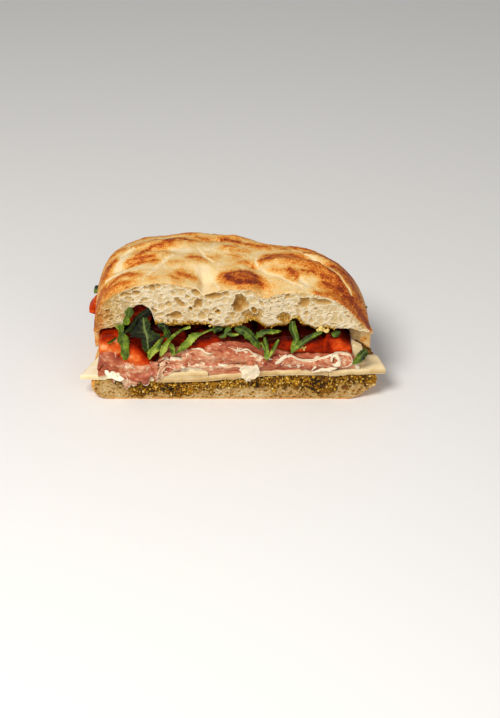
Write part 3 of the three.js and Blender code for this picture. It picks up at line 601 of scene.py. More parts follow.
BREAD = bread_material()
HAM = ham_material()
PESTO = grained(
    "pesto", "tone", grain=(0.7, 3, 0.5), bump=(0.5, 3), distance=0.3, stops=shades(
        (0, 40, 28, 0), (0.18, 80, 48, 0), (0.4, 140, 88, 0), (0.62, 182, 128, 6), (0.82, 210, 164, 44),
        (1, 236, 208, 128),
    ), Roughness=0.55, Specular_IOR_Level=0.22, Subsurface_Weight=0.06, Subsurface_Scale=MM,
)
CHEESE = grained(
    "cheese", "edge", grain=(5, 3, 0.5), bump=(1.5, 4), distance=0.15, stops=shades(
        (0, 253, 245, 226), (0.3, 247, 230, 188), (0.6, 234, 210, 160), (0.8, 214, 184, 130),
        (1, 190, 152, 92),
    ), Roughness=0.42, Specular_IOR_Level=0.35, Subsurface_Weight=0.25, Subsurface_Radius=(1, 0.8, 0.5),
    Subsurface_Scale=2.5 * MM,
)
# The darkest stops of the tomato colour the shade that the slices' tone mark paints under the lid
TOMATO = grained(
    "tomato", "tone", grain=(4, 4, 0.45), bump=(1.4, 4), distance=0.35, stops=shades(
        (0, 48, 5, 0), (0.2, 112, 18, 0), (0.4, 166, 38, 0), (0.6, 206, 70, 16), (0.8, 225, 112, 48),
        (1, 238, 166, 108),
    ), over=("seed", rgb(236, 196, 110)), Roughness=0.42, Specular_IOR_Level=0.05, Subsurface_Weight=0.1,
    Subsurface_Radius=(1, 0.2, 0.1), Subsurface_Scale=1.5 * MM,
)
ROCKET = grained(
    "rocket", "tone", grain=(2.5, 4, 0.8), bump=(0.8, 3), distance=0.25, stops=shades(
        (0, 12, 16, 0), (0.25, 32, 44, 2), (0.5, 60, 82, 8), (0.75, 102, 124, 18), (1, 160, 174, 66),
    ), over=("rib", rgb(150, 168, 92)), Roughness=0.44, Specular_IOR_Level=0.2, Subsurface_Weight=0.06,
    Subsurface_Radius=(0.4, 1, 0.2), Subsurface_Scale=MM,
)


# Outlines of the bread on the cut face

lid_top_at_cut = curve_through([
    (-75, 45), (-74.4, 51), (-70.7, 60.1), (-65.2, 65.5), (-55.5, 70.9), (-46.1, 73.5), (-36.7, 74.3),
    (-28.4, 73), (-19.1, 70.3), (-15.5, 67), (-7.7, 69.7), (0.7, 70.3), (10.1, 69.7), (16.4, 65.3),
    (24.7, 67.9), (32, 68.5), (42.4, 67.5), (53, 64.3), (60.5, 58.9), (66, 52.7), (70.4, 47.8), (75, 43.5),
])
lid_under_at_cut = curve_through([
    (-75, 43.5), (-68.3, 46), (-59.5, 47.6), (-56.5, 56), (-52, 59.4), (-46.5, 60), (-43.4, 56),
    (-41.5, 49.3), (-14.5, 49.1), (-10.3, 47.1), (1, 47.7), (10.1, 51.5), (16.5, 47.8), (29, 49),
    (33.3, 53.2), (37.5, 49), (44.9, 46.6), (66.3, 44.8), (75, 42.2),
])
heel_top_at_cut = curve_through([
    (-78, 12), (-60, 12.3), (-57, 6), (-54.5, 2.4), (-50, 2.4), (-46, 4.8), (-38, 4.6), (-34, 2.4),
    (-30, 1.8), (-26, 3.6), (-22, 6.2), (-13, 6.6), (-6, 8.4), (17, 8.6), (38, 9.2), (43, 5.2), (48, 4.2),
    (53, 5.4), (57, 10.6), (64, 11.6), (78, 11),
])
pesto_top = curve_through([
    (-66, 12.9), (-41, 12.2), (-13, 12.6), (-5, 13.8), (17, 15.8), (26, 16.6), (47, 16.4), (61, 17.1),
    (78, 16.6),
])

# Raised and sunk places of the crust: x, y, half length, half width, turn in degrees, height
BLISTERS = [
    (5.8, -31.2, 11, 7.4, -4, 1.8), (24, -12.5, 9, 5, 4, 2.2), (41, -14, 15, 7, -22, 2.6),
    (58, -25, 13, 7, -38, 2.2), (45, -3, 15, 3.6, -20, 1.8), (60, -14, 10, 3.4, -40, 1.6),
    (36, -24, 8, 4.6, -12, 0.9), (-60, -35, 12, 7, 22, 1.8), (-46, -8, 15, 6, 8, 1.8),
    (-42, 7, 17, 5, 18, 2), (-68, 0, 9, 5, 74, 1.6), (-22, -18, 12, 7, -6, 1), (-4, 4, 11, 6, 10, 1.5),
    (-22, 25, 16, 7, 4, 1.8), (1, 19, 13, 8, -4, 3), (16, 12, 13, 6, -14, 1.2), (-50, 24, 11, 6, 30, 1.4),
    (38, 12, 13, 6, -24, 2), (11.7, -16, 5, 4, 0, -2.4), (-56, -18, 15, 3.6, 25, -2),
    (-40, 0, 16, 3, 14, -1.6), (44, -8.5, 14, 2.2, -20, -1.8), (-13, -30, 8, 4.4, -30, -1.4),
    (22, -24, 11, 4, -16, -1.3), (-8, 15, 16, 4, 4, -1.4), (-30, -4, 8, 5, 20, -1.2),
]

# Browned strokes of the crust: how brown, half width, and the points along it
BROWNED = [
    (0.6, 1.4, [(-51.7, 18.7), (-44.1, 23.9), (-37.8, 22.1)]),
    (0.68, 1.4, [(-33.8, 22.5), (-28.2, 22.7), (-22.5, 21.7)]),
    (0.6, 1.2, [(-43.5, 14.5), (-40.7, 13.7)]),
    (0.8, 1.4, [(-51.9, -9.6), (-48, -2.2), (-43.9, 2.2), (-39.6, 4.7), (-35.9, 8)]),
    (0.92, 2.6, [(-35.9, 8), (-31.7, 12.9), (-27.8, 13.3), (-24.4, 11.5)]),
    (0.74, 1.2, [(-57.6, -14.9), (-52.8, -12.8), (-49.1, -11.3), (-45.8, -11)]),
    (0.74, 1.2, [(-56.3, -17.4), (-51.6, -14.6), (-47.3, -13.6), (-42.3, -15.4)]),
    (0.4, 5, [(-51.4, -4.4), (-45.4, -8), (-38.4, -4.2)]),
    (0.6, 1.8, [(-69, -3.4), (-66.2, -2.5), (-63.7, 0.9), (-60.5, 2.7)]),
    (0.78, 2.1, [(-68.7, -20.4), (-67.3, -16.6), (-65.6, -10.9)]),
    (0.62, 1.6, [(-70.2, -23), (-70.9, -14.9)]),
    (0.5, 2.8, [(-54.9, 1.8), (-48.5, 7.9), (-42, 12)]),
    (0.72, 2.2,
     [(-69.5, -33.2), (-66.8, -31.4), (-63.6, -29.5), (-59.9, -28), (-56.1, -28.7), (-52.1, -30.6)]),
    (0.66, 2, [(-68.3, -35), (-61.5, -35.4), (-54.9, -36.5)]),
    (0.78, 2, [(-73.4, -36), (-71, -31.1)]),
    (0.42, 1.8, [(-34.2, -16.4), (-28.7, -17)]),
    (0.78, 1.6, [(-22, -9.9), (-17.6, -12.3)]),
    (0.42, 1.5, [(-15.5, -9.3), (-10.6, -8.5)]),
    (0.74, 1.5, [(-28.8, -28.4), (-25, -30.5), (-21.8, -31)]),
    (0.54, 1.3, [(-33.4, -33), (-29.1, -34)]),
    (0.38, 1.6, [(-45, -34), (-41.7, -35.7)]),
    (0.66, 1.4, [(-20.7, 17.6), (-15.6, 15.1)]),
    (0.88, 1.9, [(-6.1, 15), (-1.6, 13.8), (2.3, 11.8)]),
    (0.62, 1.3, [(-5.3, 2.5), (-0.4, 3.5)]),
    (0.6, 1.2, [(-0.6, 21), (6.2, 18.4), (9.6, 18.8)]),
    (0.76, 1.3, [(4.6, 9.9), (10.7, 9.4), (14.3, 7.9), (17.9, 7)]),
    (0.6, 1.3, [(21.2, 9.9), (29, 8.6)]),
    (0.78, 1, [(31, 11.7), (37.9, 8.7), (42.9, 6.7), (46.9, 5)]),
    (0.88, 2.1, [(38.7, 0.5), (44.9, 1.6), (50, 1.8), (54.4, -0.3), (58.4, -4), (61.2, -8.2), (63.6, -13.8)]),
    (0.86, 1.5, [(54.2, -11), (59, -15), (63, -18.9), (65.8, -22.6), (67.6, -26.5)]),
    (0.9, 1.1, [
        (14.8, -9.2), (19.1, -4.6), (25.3, -2.9), (31.3, -2.8), (37.4, -4.8), (43.4, -9.4), (47.2, -15),
        (52.5, -20.4), (55.9, -24.1), (58.2, -27.3), (60.5, -30),
    ]),
    (0.88, 2.4, [(16, -9), (20.2, -9.4), (27.5, -8.6)]),
    (0.66, 5, [(24.5, -8.4), (32, -9), (39, -13.4), (45, -19.6), (50.7, -24.5), (56.5, -28.3), (64, -31)]),
    (0.86, 2, [(29.5, -20.6), (33.6, -26)]),
    (0.46, 1.6, [(21.4, -19.1), (28.4, -20.5)]),
    (0.82, 1.5, [(38, -22.2), (42.3, -23.4)]),
    (0.84, 1.7, [(47.6, -24.9), (52.4, -26.3)]),
    (0.86, 1.5, [(48, -30), (53.9, -30.6)]),
    (1, 3.4, [(56.5, -32), (62.3, -33), (66.5, -34), (69.9, -35), (73.7, -37)]),
    (0.74, 0.8, [(45.2, -38.6), (50.6, -37.4), (54.7, -36.8), (57.3, -37)]),
    (0.7, 0.7, [(11.7, -13.7), (11.9, -14.9)]),
    (0.5, 1.6, [(-0.3, -4.6), (2.4, -6.5)]),
    (0.46, 2, [(-1.4, -0.7), (6.8, 1.5)]),
    (0.6, 1.1, [(5.7, -12.4), (9.5, -12.7)]),
    (0.82, 6.4, [(2.4, -30.4), (6.6, -31), (10, -30.8)]),
    (1.1, 1.8, [(-3, -29.4), (-0.8, -33.2), (4.8, -35.4), (11, -34.6), (14.6, -31.6)]),
    (1.1, 1.5, [(-1.8, -27), (3.2, -25), (9, -25.4), (13.4, -27.8)]),
    (0.62, 5, [(44, 14), (56, 8), (66, -2)]),
    (0.55, 4, [(-40, 32), (-26, 36), (-10, 36)]),
    (0.5, 4, [(20, 26), (36, 21), (50, 15)]),
    (0.8, 3, [(-10, 28), (4, 27)]),
    (0.7, 3, [(-64, 14), (-58, 20)]),
]

# Pale creases between the blisters: depth, half width, and the points along it
CREASES = [
    (1, 0.6, [(-60, -7.9), (-56, 1.6)]),
    (1, 0.8, [(-45.1, -31.7), (-42.7, -27), (-41.5, -20.8), (-38.5, -16.7), (-36.6, -11.7), (-32.9, -8.3)]),
    (0.8, 1.3, [(-67, -26), (-62.1, -25), (-57.5, -22.6), (-53.4, -20.5), (-50.1, -20.7)]),
    (0.7, 2.1, [(-62.2, -19.2), (-60.4, -13.6), (-59.7, -8)]),
    (0.8, 0.6, [(-20.7, 2), (-18.3, -4.6), (-16, -9.4), (-11.5, -15.5)]),
    (0.8, 0.6, [(-16.2, -2), (-13, 0.4), (-11.5, 6.1), (-8.9, 16.4)]),
    (0.5, 2.4, [(-33.3, -0.4), (-25.6, 0)]),
    (0.5, 3.2, [(-15.7, -22.4), (-15, -29.3)]),
    (0.6, 1.4, [(35.5, -27.2), (38.7, -34.1)]),
    (0.8, 0.7, [(12.3, -7.9), (12.1, -13.3)]),
    (1, 0.9,
     [(32.8, 5.6), (39.7, -3.4), (43.4, -6.7), (49.6, -14.3), (57.4, -22.3), (61.1, -26.8), (63.8, -29)]),
    (0.5, 0.8, [(12.8, -16), (15.5, -21), (23, -24.1), (30.3, -31.1), (35.5, -36.4)]),
    (0.4, 0.6, [(-14, -26), (-9, -34), (-8, -40)]),
    (0.5, 0.8, [(-40, 24), (-24, 28), (-8, 25), (8, 22)]),
    (0.5, 0.8, [(36, 12), (50, 6), (60, -2)]),
]


def crust_relief(x, y):
    height = 0
    for cx, cy, half_length, half_width, turn, rise in BLISTERS:
        angle = math.radians(turn)
        along = (x - cx) * math.cos(angle) + (y - cy) * math.sin(angle)
        across = (y - cy) * math.cos(angle) - (x - cx) * math.sin(angle)
        height = height + rise * np.exp(-1.4 * ((along / half_length) ** 2 + (across / half_width) ** 2))
    return height


def distance_to(points, x, y):
    """How far places are from a line through a few points"""
    best = np.full(np.shape(x), np.inf)
    for (x0, y0), (x1, y1) in zip(points, points[1:]):
        length = (x1 - x0) ** 2 + (y1 - y0) ** 2
        t = np.clip(((x - x0) * (x1 - x0) + (y - y0) * (y1 - y0)) / length, 0, 1)
        best = np.minimum(best, np.hypot(x - mix(x0, x1, t), y - mix(y0, y1, t)))
    return best


def browned(x, y):
    """How brown the crust is, from 0 to about 1"""
    shift_x = x + 1.3 * rough(x, y, 0, 7, 11) + 0.5 * noise(x, y, 0, 1.6, 12)
    shift_y = y + 1.0 * rough(x, y, 0, 6, 17) + 0.4 * noise(x, y, 0, 1.6, 18)
    level = 0.1 + 0.08 * rough(x, y, 0, 14, 5) + 0.05 * rough(x, y, 0, 4, 9)
    level = level + 0.16 * smooth(-52, -73, x) + 0.3 * smooth(44, 60, x) * smooth(82, 62, x)
    halo = 0
    core = 0
    for strength, half_width, points in BROWNED:
        distance = distance_to(points, shift_x, shift_y)
        halo = np.maximum(halo, 0.55 * strength * np.exp(-((distance / (half_width + 3)) ** 2)))
        core = np.maximum(core, 0.86 * strength * np.exp(-((distance / (1.15 * half_width + 0.4)) ** 3)))
    return np.maximum(level + halo * (1 - level), core)


def creased(x, y):
    """How deep the pale creases are, from 0 to 1"""
    shift_x = x + 1.2 * noise(x, y, 0, 5, 31)
    shift_y = y + 1.2 * noise(x, y, 0, 5, 37)
    level = 0
    for depth, half_width, points in CREASES:
        distance = distance_to(points, shift_x, shift_y)
        level = np.maximum(level, depth * np.exp(-((distance / half_width) ** 2)))
    return level


# Crumb

# Pores of the lid on the cut face: x, z, half width, half height, turn in degrees, depth, how stained
LID_PORES = [
    (-51.1, 70.2, 3, 1, 5, 1.5, 0), (-45.3, 70.3, 1.7, 1.3, 0, 1.5, 0),
    (-41.6, 70.6, 2.3, 2.4, 10, 2.4, 0), (-56.5, 66.8, 4.4, 1.9, 8, 2, 0),
    (-50.2, 67, 3, 1.9, -20, 2.2, 0), (-37.6, 65.4, 2.8, 1, -35, 1.6, 0),
    (-30.5, 67, 2.2, 2.2, -30, 1.4, 0), (-24, 65, 1.6, 1.6, 0, 1.6, 0.2),
    (-19, 67.4, 2.4, 2.8, -15, 2.4, 0), (-27.6, 61, 3.8, 1.9, -48, 2.6, 0),
    (-18.1, 60.1, 3.5, 3.9, -20, 3.4, 0), (-22.9, 56.8, 1.6, 1.7, 0, 3, 1.1),
    (-7.5, 55.2, 1.9, 1.9, 0, 3, 1.3), (-9.2, 65.4, 5.2, 2.5, 12, 2.8, 0),
    (-3.1, 67, 2.2, 1.9, 0, 1.8, 0.2), (3.4, 60.4, 5, 7, -35, 5, 0.1), (-31.5, 53.9, 6.2, 3.2, 4, 3.2, 0),
    (-42.4, 57, 1.8, 2, 0, 1.8, 0.6), (-16.4, 54, 2.6, 3, 0, 2, 0),
    (-11.5, 60.5, 1.6, 1.9, -20, 1.6, 0.1), (-0.5, 54, 2.2, 3.2, 10, 1.8, 0),
    (-66.5, 57, 1.6, 1.9, 0, 1.6, 0.25), (-58.9, 61.9, 4.8, 1.2, 4, 1.8, 0.15),
    (-62.5, 52, 1.3, 2.2, -25, 1.4, 0.2), (-71, 52.4, 2.4, 4.6, 10, 1.8, 0), (-66, 51, 1.6, 2, 0, 1.4, 0),
    (10.9, 56.6, 2.3, 2.3, 0, 3.4, 0.9), (9.5, 53.6, 6.8, 4.4, 14, 3, 0.25),
    (25.4, 61.9, 1.3, 1, 0, 1.4, 0.1), (22.8, 63.6, 1, 1, 0, 1.2, 0.1),
    (21.5, 60.8, 1.1, 0.9, 0, 1.2, 0.1), (24.4, 59, 0.9, 1.1, 0, 1.2, 0.1),
    (27.6, 62.6, 0.9, 0.8, 0, 1, 0.1), (20.4, 58.4, 1, 1.2, 0, 1.2, 0.1),
    (29.6, 64.8, 1.5, 2.4, -30, 1.8, 0.1), (27.9, 59.1, 0.9, 1.9, 15, 1.6, 0.2),
    (38.2, 61.9, 3.5, 3.9, -25, 3.2, 0), (47.4, 62.4, 5.6, 2.5, -14, 2.6, 0),
    (39.7, 54.2, 1.9, 2.1, 0, 1.4, 0), (52.2, 53.9, 2.2, 1.2, -8, 1.6, 0.3),
    (26.6, 52, 3.6, 2.6, 0, 2.4, 0.7), (34.2, 58.6, 1.6, 1.6, 0, 1.2, 0),
    (44.5, 57.4, 2, 1.4, 10, 1.2, 0), (57.5, 57.5, 1.8, 1, -30, 1.2, 0),
    (61.6, 52.6, 2.2, 1, -35, 1.2, 0), (15.5, 61, 1.4, 2, 20, 1.4, 0), (-34, 60, 2, 1.6, 0, 1.6, 0),
    (-46.5, 63.2, 3.4, 1.4, 14, 1.6, 0), (-53, 62.8, 1.6, 1.2, 0, 1.2, 0), (-12, 51, 1.2, 1.2, 0, 2, 1),
]
HEEL_PORES = [
    (62.4, 7.4, 2.4, 2.5, 0, 2, 0.1), (55, 5.6, 1, 1, 0, 1, 0.3), (69, 6.6, 1.2, 1, 0, 1.2, 0.3),
    (31, 4.4, 1.8, 1.2, 0, 1.4, 0.6), (26, 4, 1, 0.8, 0, 1, 0.4), (10, 3.6, 1.2, 1.4, 0, 1.6, 0.8),
    (17, 5.4, 1.4, 1.1, 0, 1.4, 0.6), (-8, 3, 1.5, 1, 0, 1.2, 0.6), (-20, 3.4, 1.4, 1, 0, 1.2, 0.4),
    (-56, 6.4, 1.3, 1.1, 0, 1.2, 0.5), (-62, 7.6, 1.6, 1, 20, 1.2, 0.3), (-69, 8, 1, 0.9, 0, 1, 0.2),
    (3, 5, 1.1, 0.9, 0, 1.2, 0.5), (-3.6, 4, 0.9, 0.8, 0, 1, 0.5), (40, 2.6, 1.2, 0.8, 0, 1, 0.4),
]


def foam(seed, left, right, low, high, spacing, sizes, depths, stained=0, pores=()):
    """Small bubbles that fill a part of the cut face outside its pores, on a grid with seeded shifts"""
    draw = np.random.default_rng(seed)
    bubbles = []
    for x in np.arange(left, right, spacing):
        for z in np.arange(low, high, spacing):
            cx, cz = np.array((x, z)) + draw.uniform(-0.9, 0.9, 2) * spacing
            size = draw.uniform(*sizes) * spacing
            squeeze, turn = draw.uniform(0.5, 1), draw.uniform(-70, 70)
            depth, stain = draw.uniform(*depths) * draw.uniform(0.3, 1), draw.uniform(0, stained)
            if all(math.hypot((cx - pore[0]) / pore[2], (cz - pore[1]) / pore[3]) > 0.9 for pore in pores):
                bubbles.append((cx, cz, size, size * squeeze, turn, depth, stain))
    return bubbles


def bubble_field(bubbles, x, z):
    """The depth of the bubbles, the shade painted inside them, darker in deeper bubbles, how stained a place
    is, and their thin walls
    """
    shift_x = x + 0.45 * rough(x, 0, z, 2.6, 41) + 1.1 * noise(x, 0, z, 7, 43)
    shift_z = z + 0.45 * rough(x, 0, z, 2.6, 47) + 1.1 * noise(x, 0, z, 7, 49)
    nearest, second = np.full(len(x), 9.0), np.full(len(x), 9.0)
    size, deep, stain = (np.zeros(len(x)) for _ in range(3))
    for cx, cz, half_width, half_height, turn, depth, stained in bubbles:
        reach = 1.7 * max(half_width, half_height)
        near = np.flatnonzero((np.abs(shift_x - cx) < reach) & (np.abs(shift_z - cz) < reach))
        cos, sin = math.cos(math.radians(turn)), math.sin(math.radians(turn))
        across, up = shift_x[near] - cx, shift_z[near] - cz
        distance = np.hypot((across * cos + up * sin) / half_width, (up * cos - across * sin) / half_height)
        closer = distance < nearest[near]
        second[near] = np.where(closer, nearest[near], np.minimum(second[near], distance))
        nearest[near] = np.where(closer, distance, nearest[near])
        for values, value in ((size, min(half_width, half_height)), (deep, depth), (stain, stained)):
            values[near] = np.where(closer, value, values[near])
    room = np.minimum(1.12 - nearest, second - nearest)
    hollow = 0.5 * smooth(0, 0.9, room * size) + 0.5 * smooth(0, 0.85, room)
    wall = np.maximum(np.exp(-((room * size / 0.25) ** 2)) * (nearest < 1.3), threads(x, 0.7 * z, 5, 0.4, 45))
    dent = 0.6 * deep * hollow - 0.3 * wall
    return dent, hollow * np.clip(0.12 + 0.16 * deep, 0, 0.8), stain * smooth(0, 0.3, room), wall


# Bread heel

# The height of its rim, how much of its width lies flat at each end, and how its right end slants up
HEEL_RIM = 9.6
BASE_SHARE_LEFT = 0.87
BASE_SHARE_RIGHT = 0.82
HEEL_SLANT = 1.15


def heel_top(x, y, a, b):
    inside = HEEL_TOP + 0.5 * np.sin(0.09 * x + 1) + 2 * smooth(-30, -64, x)
    ragged = 0.7 * rough(x, y, 0, 3.4, 51)
    torn = 0.7 * rough(x, 0, 0, 1.7, 53)
    height = mix(heel_top_at_cut(x) + ragged + torn, inside + ragged, smooth(CUT_Y, CUT_Y + 7, y))
    return mix(height, HEEL_RIM + LIP, smooth(0.93, 1, edge_of(a, b)) ** 2)


def heel_bottom(x, y, a, b):
    to_right = smooth(0, 0.5, a)
    base = mix(BASE_SHARE_LEFT, BASE_SHARE_RIGHT, to_right)
    share = np.clip((edge_of(a, b) - base) / (1 - base), 0, 1)
    return HEEL_RIM * mix(1 - np.sqrt(1 - share * share), share**HEEL_SLANT, to_right)


heel_bubbles = HEEL_PORES + foam(
    seed=61, left=-78, right=78, low=0.6, high=12, spacing=1.9, sizes=(0.34, 0.8), depths=(0.3, 1.8),
    stained=0.4, pores=HEEL_PORES,
)


def at_wall(field, x, z):
    """A field of bubbles on a grid of places, as the depth that the wall is dented"""
    return field(np.ravel(x), np.ravel(z)).reshape(np.shape(x))


def heel_wall(x, y, z, share):
    fade = smooth(0, 0.12, share) * smooth(1, 0.85, share)
    dents = at_wall(lambda u, v: bubble_field(heel_bubbles, u, v)[0], x, z)
    return -fade * (dents + 0.25 * rough(x, 0, z, 1.2, 63))


def bread_marks(shape, bubbles, brown, crust_line, base, gain):
    """What the bread's material reads: how much crust, how brown, how dark the crumb is with the shade
    painted in its pores, how stained
    """
    x, y, z = shape.vertices.T
    face = np.flatnonzero(shape.marks["part"] == WALL)
    _, pit, stain, wall = bubble_field(bubbles, x[face], z[face])
    shape.fill(crust=1, pit=0.3, stain=0)
    shape.marks["brown"] = brown
    shape.marks["crust"][face] = crust_line[face]
    # The crumb's tone, darker in the pores as painted shade, and lighter on their thin walls
    shape.marks["pit"][face] = base + gain * pit - 0.24 * wall
    shape.marks["stain"][face] = stain


heel = pad(
    rounded_plan(-HEEL_HALF, HEEL_HALF, lambda x: bread_depth(x) - 1, lean=BREAD_LEAN),
    heel_top, heel_bottom, across=300, along=80, rows=26, wall=heel_wall, crowding=0.9, thin_sides=True,
)
hx, hy, hz = heel.vertices.T
heel_line = np.maximum(smooth(1, 0.2, hz), smooth(2.6, 1, 78.5 - np.abs(hx)))
heel_brown = np.where(
    heel.marks["part"] == BOTTOM,
    0.34 + 0.14 * rough(hx, hy, 0, 12, 67) + 0.2 * smooth(8, 1, hz),
    0.3 + 0.1 * rough(hx, hy, 0, 9, 71),
)
# The heel's crumb is darker than the lid's, partly its own oil-soaked colour and partly painted shade, and
# its pores get deeper painted shade
bread_marks(heel, heel_bubbles, heel_brown, heel_line, base=0.56, gain=1.6)
heel.marks["pit"] += 0.16 * rough(hx, hy, hz, 7, 75)
top_inside = (heel.marks["part"] == TOP) & (edge_of(heel.marks["a"], heel.marks["b"]) < 0.975)
heel.marks["crust"][top_inside] = 0
soaked = smooth(4.6, 0, heel_top_at_cut(hx) - hz) * (0.75 + 0.4 * rough(hx, 0, hz, 3, 73))
heel.marks["stain"] = np.where(
    heel.marks["part"] == WALL, np.maximum(heel.marks["stain"], soaked), np.where(top_inside, 0.9, 0),
)
add_piece("heel", heel, BREAD, ["bread_heel"])
heel_tree = heel.tree()

# Lower pesto: coarse grains in a paste

LOWER_GRAINS = 2600
# Dark places on the cut face: x, z, half width, half height
PESTO_DARK = [(46, 10.5, 6.2, 4), (71, 14.5, 4, 2.4), (-36, 7, 4.5, 3), (12, 9, 4, 2), (-48, 8, 3, 2)]


def pesto_dark(x, z):
    """Where the pesto is dark green"""
    return sum(
        np.exp(-(((x - cx) / half_width) ** 2) - ((z - cz) / half_height) ** 2)
        for cx, cz, half_width, half_height in PESTO_DARK
    )


def pesto_bottom(x, y, a, b):
    return support([heel_tree], x, y) + 0.05


def pesto_lower_top(x, y, a, b):
    level = pesto_top(x) + 0.25 * np.sin(1.1 * x) + 0.5 * rough(x, y, 0, 2.2, 81)
    return np.maximum(level - 0.6 * smooth(0.9, 1, edge_of(a, b)), pesto_bottom(x, y, a, b) + 0.8)


def pesto_wall(x, y, z, share):
    lumps = 0.9 * rough(x, y, z, 2.4, 83) + 0.5 * rough(x, y, z, 0.9, 87, 2)
    return (lumps + 0.3) * np.sin(math.pi * share) ** 0.5


pesto_core = pad(
    rounded_plan(-66, 77.4, lambda x: bread_depth(x) - 7, front=CUT_Y - 0.4),
    pesto_lower_top, pesto_bottom, across=220, along=60, rows=12, wall=pesto_wall, crowding=0.6,
)
px, py, pz = pesto_core.vertices.T
pesto_core.marks["tone"] = 0.32 + 0.34 * rough(px, py, pz, 1.8, 89) - 0.3 * pesto_dark(px, pz)
# Lighter and golden at the right end behind the cut: partly a golden colour of its own, partly painted light
# against the lid's shadow
pesto_core.marks["tone"] += 0.3 * smooth(66, 72, px) * (py > CUT_Y + 2)
pesto_tree = pesto_core.tree()


def pesto_grains(core, count, seed):
    """Grains pressed into the walls of a core of paste, most of them at the cut"""
    draw = np.random.default_rng(seed)
    walls = np.flatnonzero(core.marks["part"] == WALL)
    weights = np.where(core.vertices[walls, 1] < CUT_Y + 2, 1.0, 0.35)
    chosen = draw.choice(walls, count, p=weights / weights.sum())
    centres = core.vertices[chosen] + draw.uniform(-0.3, 0.3, (count, 3))
    sizes = draw.uniform(0.32, 0.75, count) * draw.uniform(0.7, 1.15, count)
    grains = blobs(centres, sizes, seed + 1, 0.35)
    tone = draw.choice([0.12, 0.34, 0.52, 0.66, 0.84, 1.04], count, p=[0.12, 0.16, 0.22, 0.22, 0.18, 0.1])
    tone = tone - 0.3 * pesto_dark(centres[:, 0], centres[:, 2])
    grains.marks["tone"] = per_blob(tone + draw.uniform(-0.08, 0.08, count))
    return grains


pesto_lower = joined([pesto_core, pesto_grains(pesto_core, LOWER_GRAINS, seed=91)])
add_piece("pesto_lower_layer", pesto_lower, PESTO, ["pesto_lower"])

# Cheese slices

CHEESE_THICKNESS = 3.3
# Past this place at either end the underside of a slice stays at one height
CARRIED_X = 70
# Each slice: its plan, and how dark its cut edge is, which is partly painted shade
CHEESE_SLICES = [
    ("cheese_left", rounded_plan(
        -84.2, -43.6, lambda x: 56, front=-40.6, rounding=0.12, turn=-3, lean=(0.4, 0)), 0.4),
    ("cheese_middle_lower", filling_plan(-42.6, 8, -42.3, 0.86, 0.12), 0.86),
    ("cheese_middle_upper", filling_plan(-43.4, -14, -42.8, 0.8, 0.12), 0.76),
    ("cheese_right_centre", filling_plan(9, 51.6, -42, 0.88, 0.12), 0.82),
    ("cheese_right", rounded_plan(
        52, 83, lambda x: 16, front=-42, rounding=0.12, turn=5, lean=(0, -0.15)), 0.8),
]
pile = [heel_tree, pesto_tree]
cheese_trees = []
cheese_shapes = {}


def cheese_wall(x, y, z, share):
    return 0.5 * np.sin(math.pi * share) ** 0.6 - 0.25 + 0.12 * rough(x, y, z, 4, 101)


def cheese_slice(plan, below, seed, edge):
    def bottom(x, y, a, b):
        height = support(below, np.clip(x, -CARRIED_X, CARRIED_X), np.maximum(y, CUT_Y + 1), 0)
        return bridged(height, 3) + 0.1

    def top(x, y, a, b):
        waves = 0.2 * rough(x, y, seed, 9, 103) - 0.45 * smooth(0.94, 1, edge_of(a, b))
        return bottom(x, y, a, b) + CHEESE_THICKNESS + waves

    shape = pad(plan, top, bottom, across=70, along=36, rows=7, wall=cheese_wall, crowding=0.3)
    x, y, z = shape.vertices.T
    wall = shape.marks["part"] == WALL
    streaks = 0.14 * noise(x, y, 2 * z, 7, 107)
    # The top is lighter than the cut edge, and the cut edge darkens towards its bottom: partly the cheese's
    # own colour, partly painted shade
    face = 0.18 + 0.8 * (edge - 0.4)
    shape.marks["edge"] = np.where(wall, edge + streaks + 0.3 * (0.5 - shape.marks["share"]), face)
    return shape


for n, (name, plan, edge) in enumerate(CHEESE_SLICES):
    shape = cheese_slice(plan, pile + cheese_trees, 10 * n, edge)
    cheese_shapes[name] = shape
    cheese_trees.append(shape.tree())
    add_piece(name + "_slice", shape, CHEESE, [name])
pile += cheese_trees

# Prosciutto

HAM_FRONT = CUT_Y - 2
THINNEST_HAM = 1.2
SHEET_THICKNESS = 0.8
STEPS_PER_MM = 2.4
# Each layer: left, right, reach, the points of its top, height of its waves, number of folds, tone
HAM_LAYERS = {
    "prosciutto_left": (
        -74, -42.6, 0.9,
        [(-74, 29.5), (-70, 30.5), (-64, 27), (-58, 24), (-52, 22.8), (-46, 22.6), (-42, 22.4)],
        0.7, 2, 0.36),
    "prosciutto_centre_low": (
        -42, 6, 0.92, [(-42, 24.6), (-38, 26), (-26, 26.6), (-12, 26), (0, 24.4), (6, 23.4)], 0.6, 1, 0.7),
    "prosciutto_centre_high": (
        -40.6, 6, 0.84, [(-40, 28.6), (-36, 31), (-28, 32), (-18, 32.6), (-8, 31), (6, 28.6)], 0.6, 1, 0.5),
    "prosciutto_right_low": (
        7, 56.6, 0.9, [(7, 24), (14, 24.6), (24, 25.4), (36, 26), (50, 25.4), (57, 25)], 0.6, 1, 0.6),
    "prosciutto_right_high": (
        7, 56.2, 0.82, [(7, 28), (18, 28.6), (26, 29.6), (36, 31), (50, 30.4), (57, 29.6)], 0.6, 1, 0.3),
    "prosciutto_roll": (
        57.4, 68, 0.76, [(57, 30.6), (60.5, 32.4), (64, 30.4), (66, 27.6), (68, 25.6)], 0.3, 1, 0.66),
    "prosciutto_fold": (
        -14, 30, 0.8,
        [(-14, 34), (-6, 37.6), (0, 38.6), (8, 37.2), (15, 35.5), (22, 33.5), (30, 32)], 0.5, 1, 0.3),
}


def fold_phase(x, z, share, folds, seed):
    """Which fold of the slice a place on its front is in; whole numbers are creases"""
    return folds * share + 0.35 * noise(x, 0, seed, 14, 117) + 0.12 * noise(x, z, seed, 5, 119)


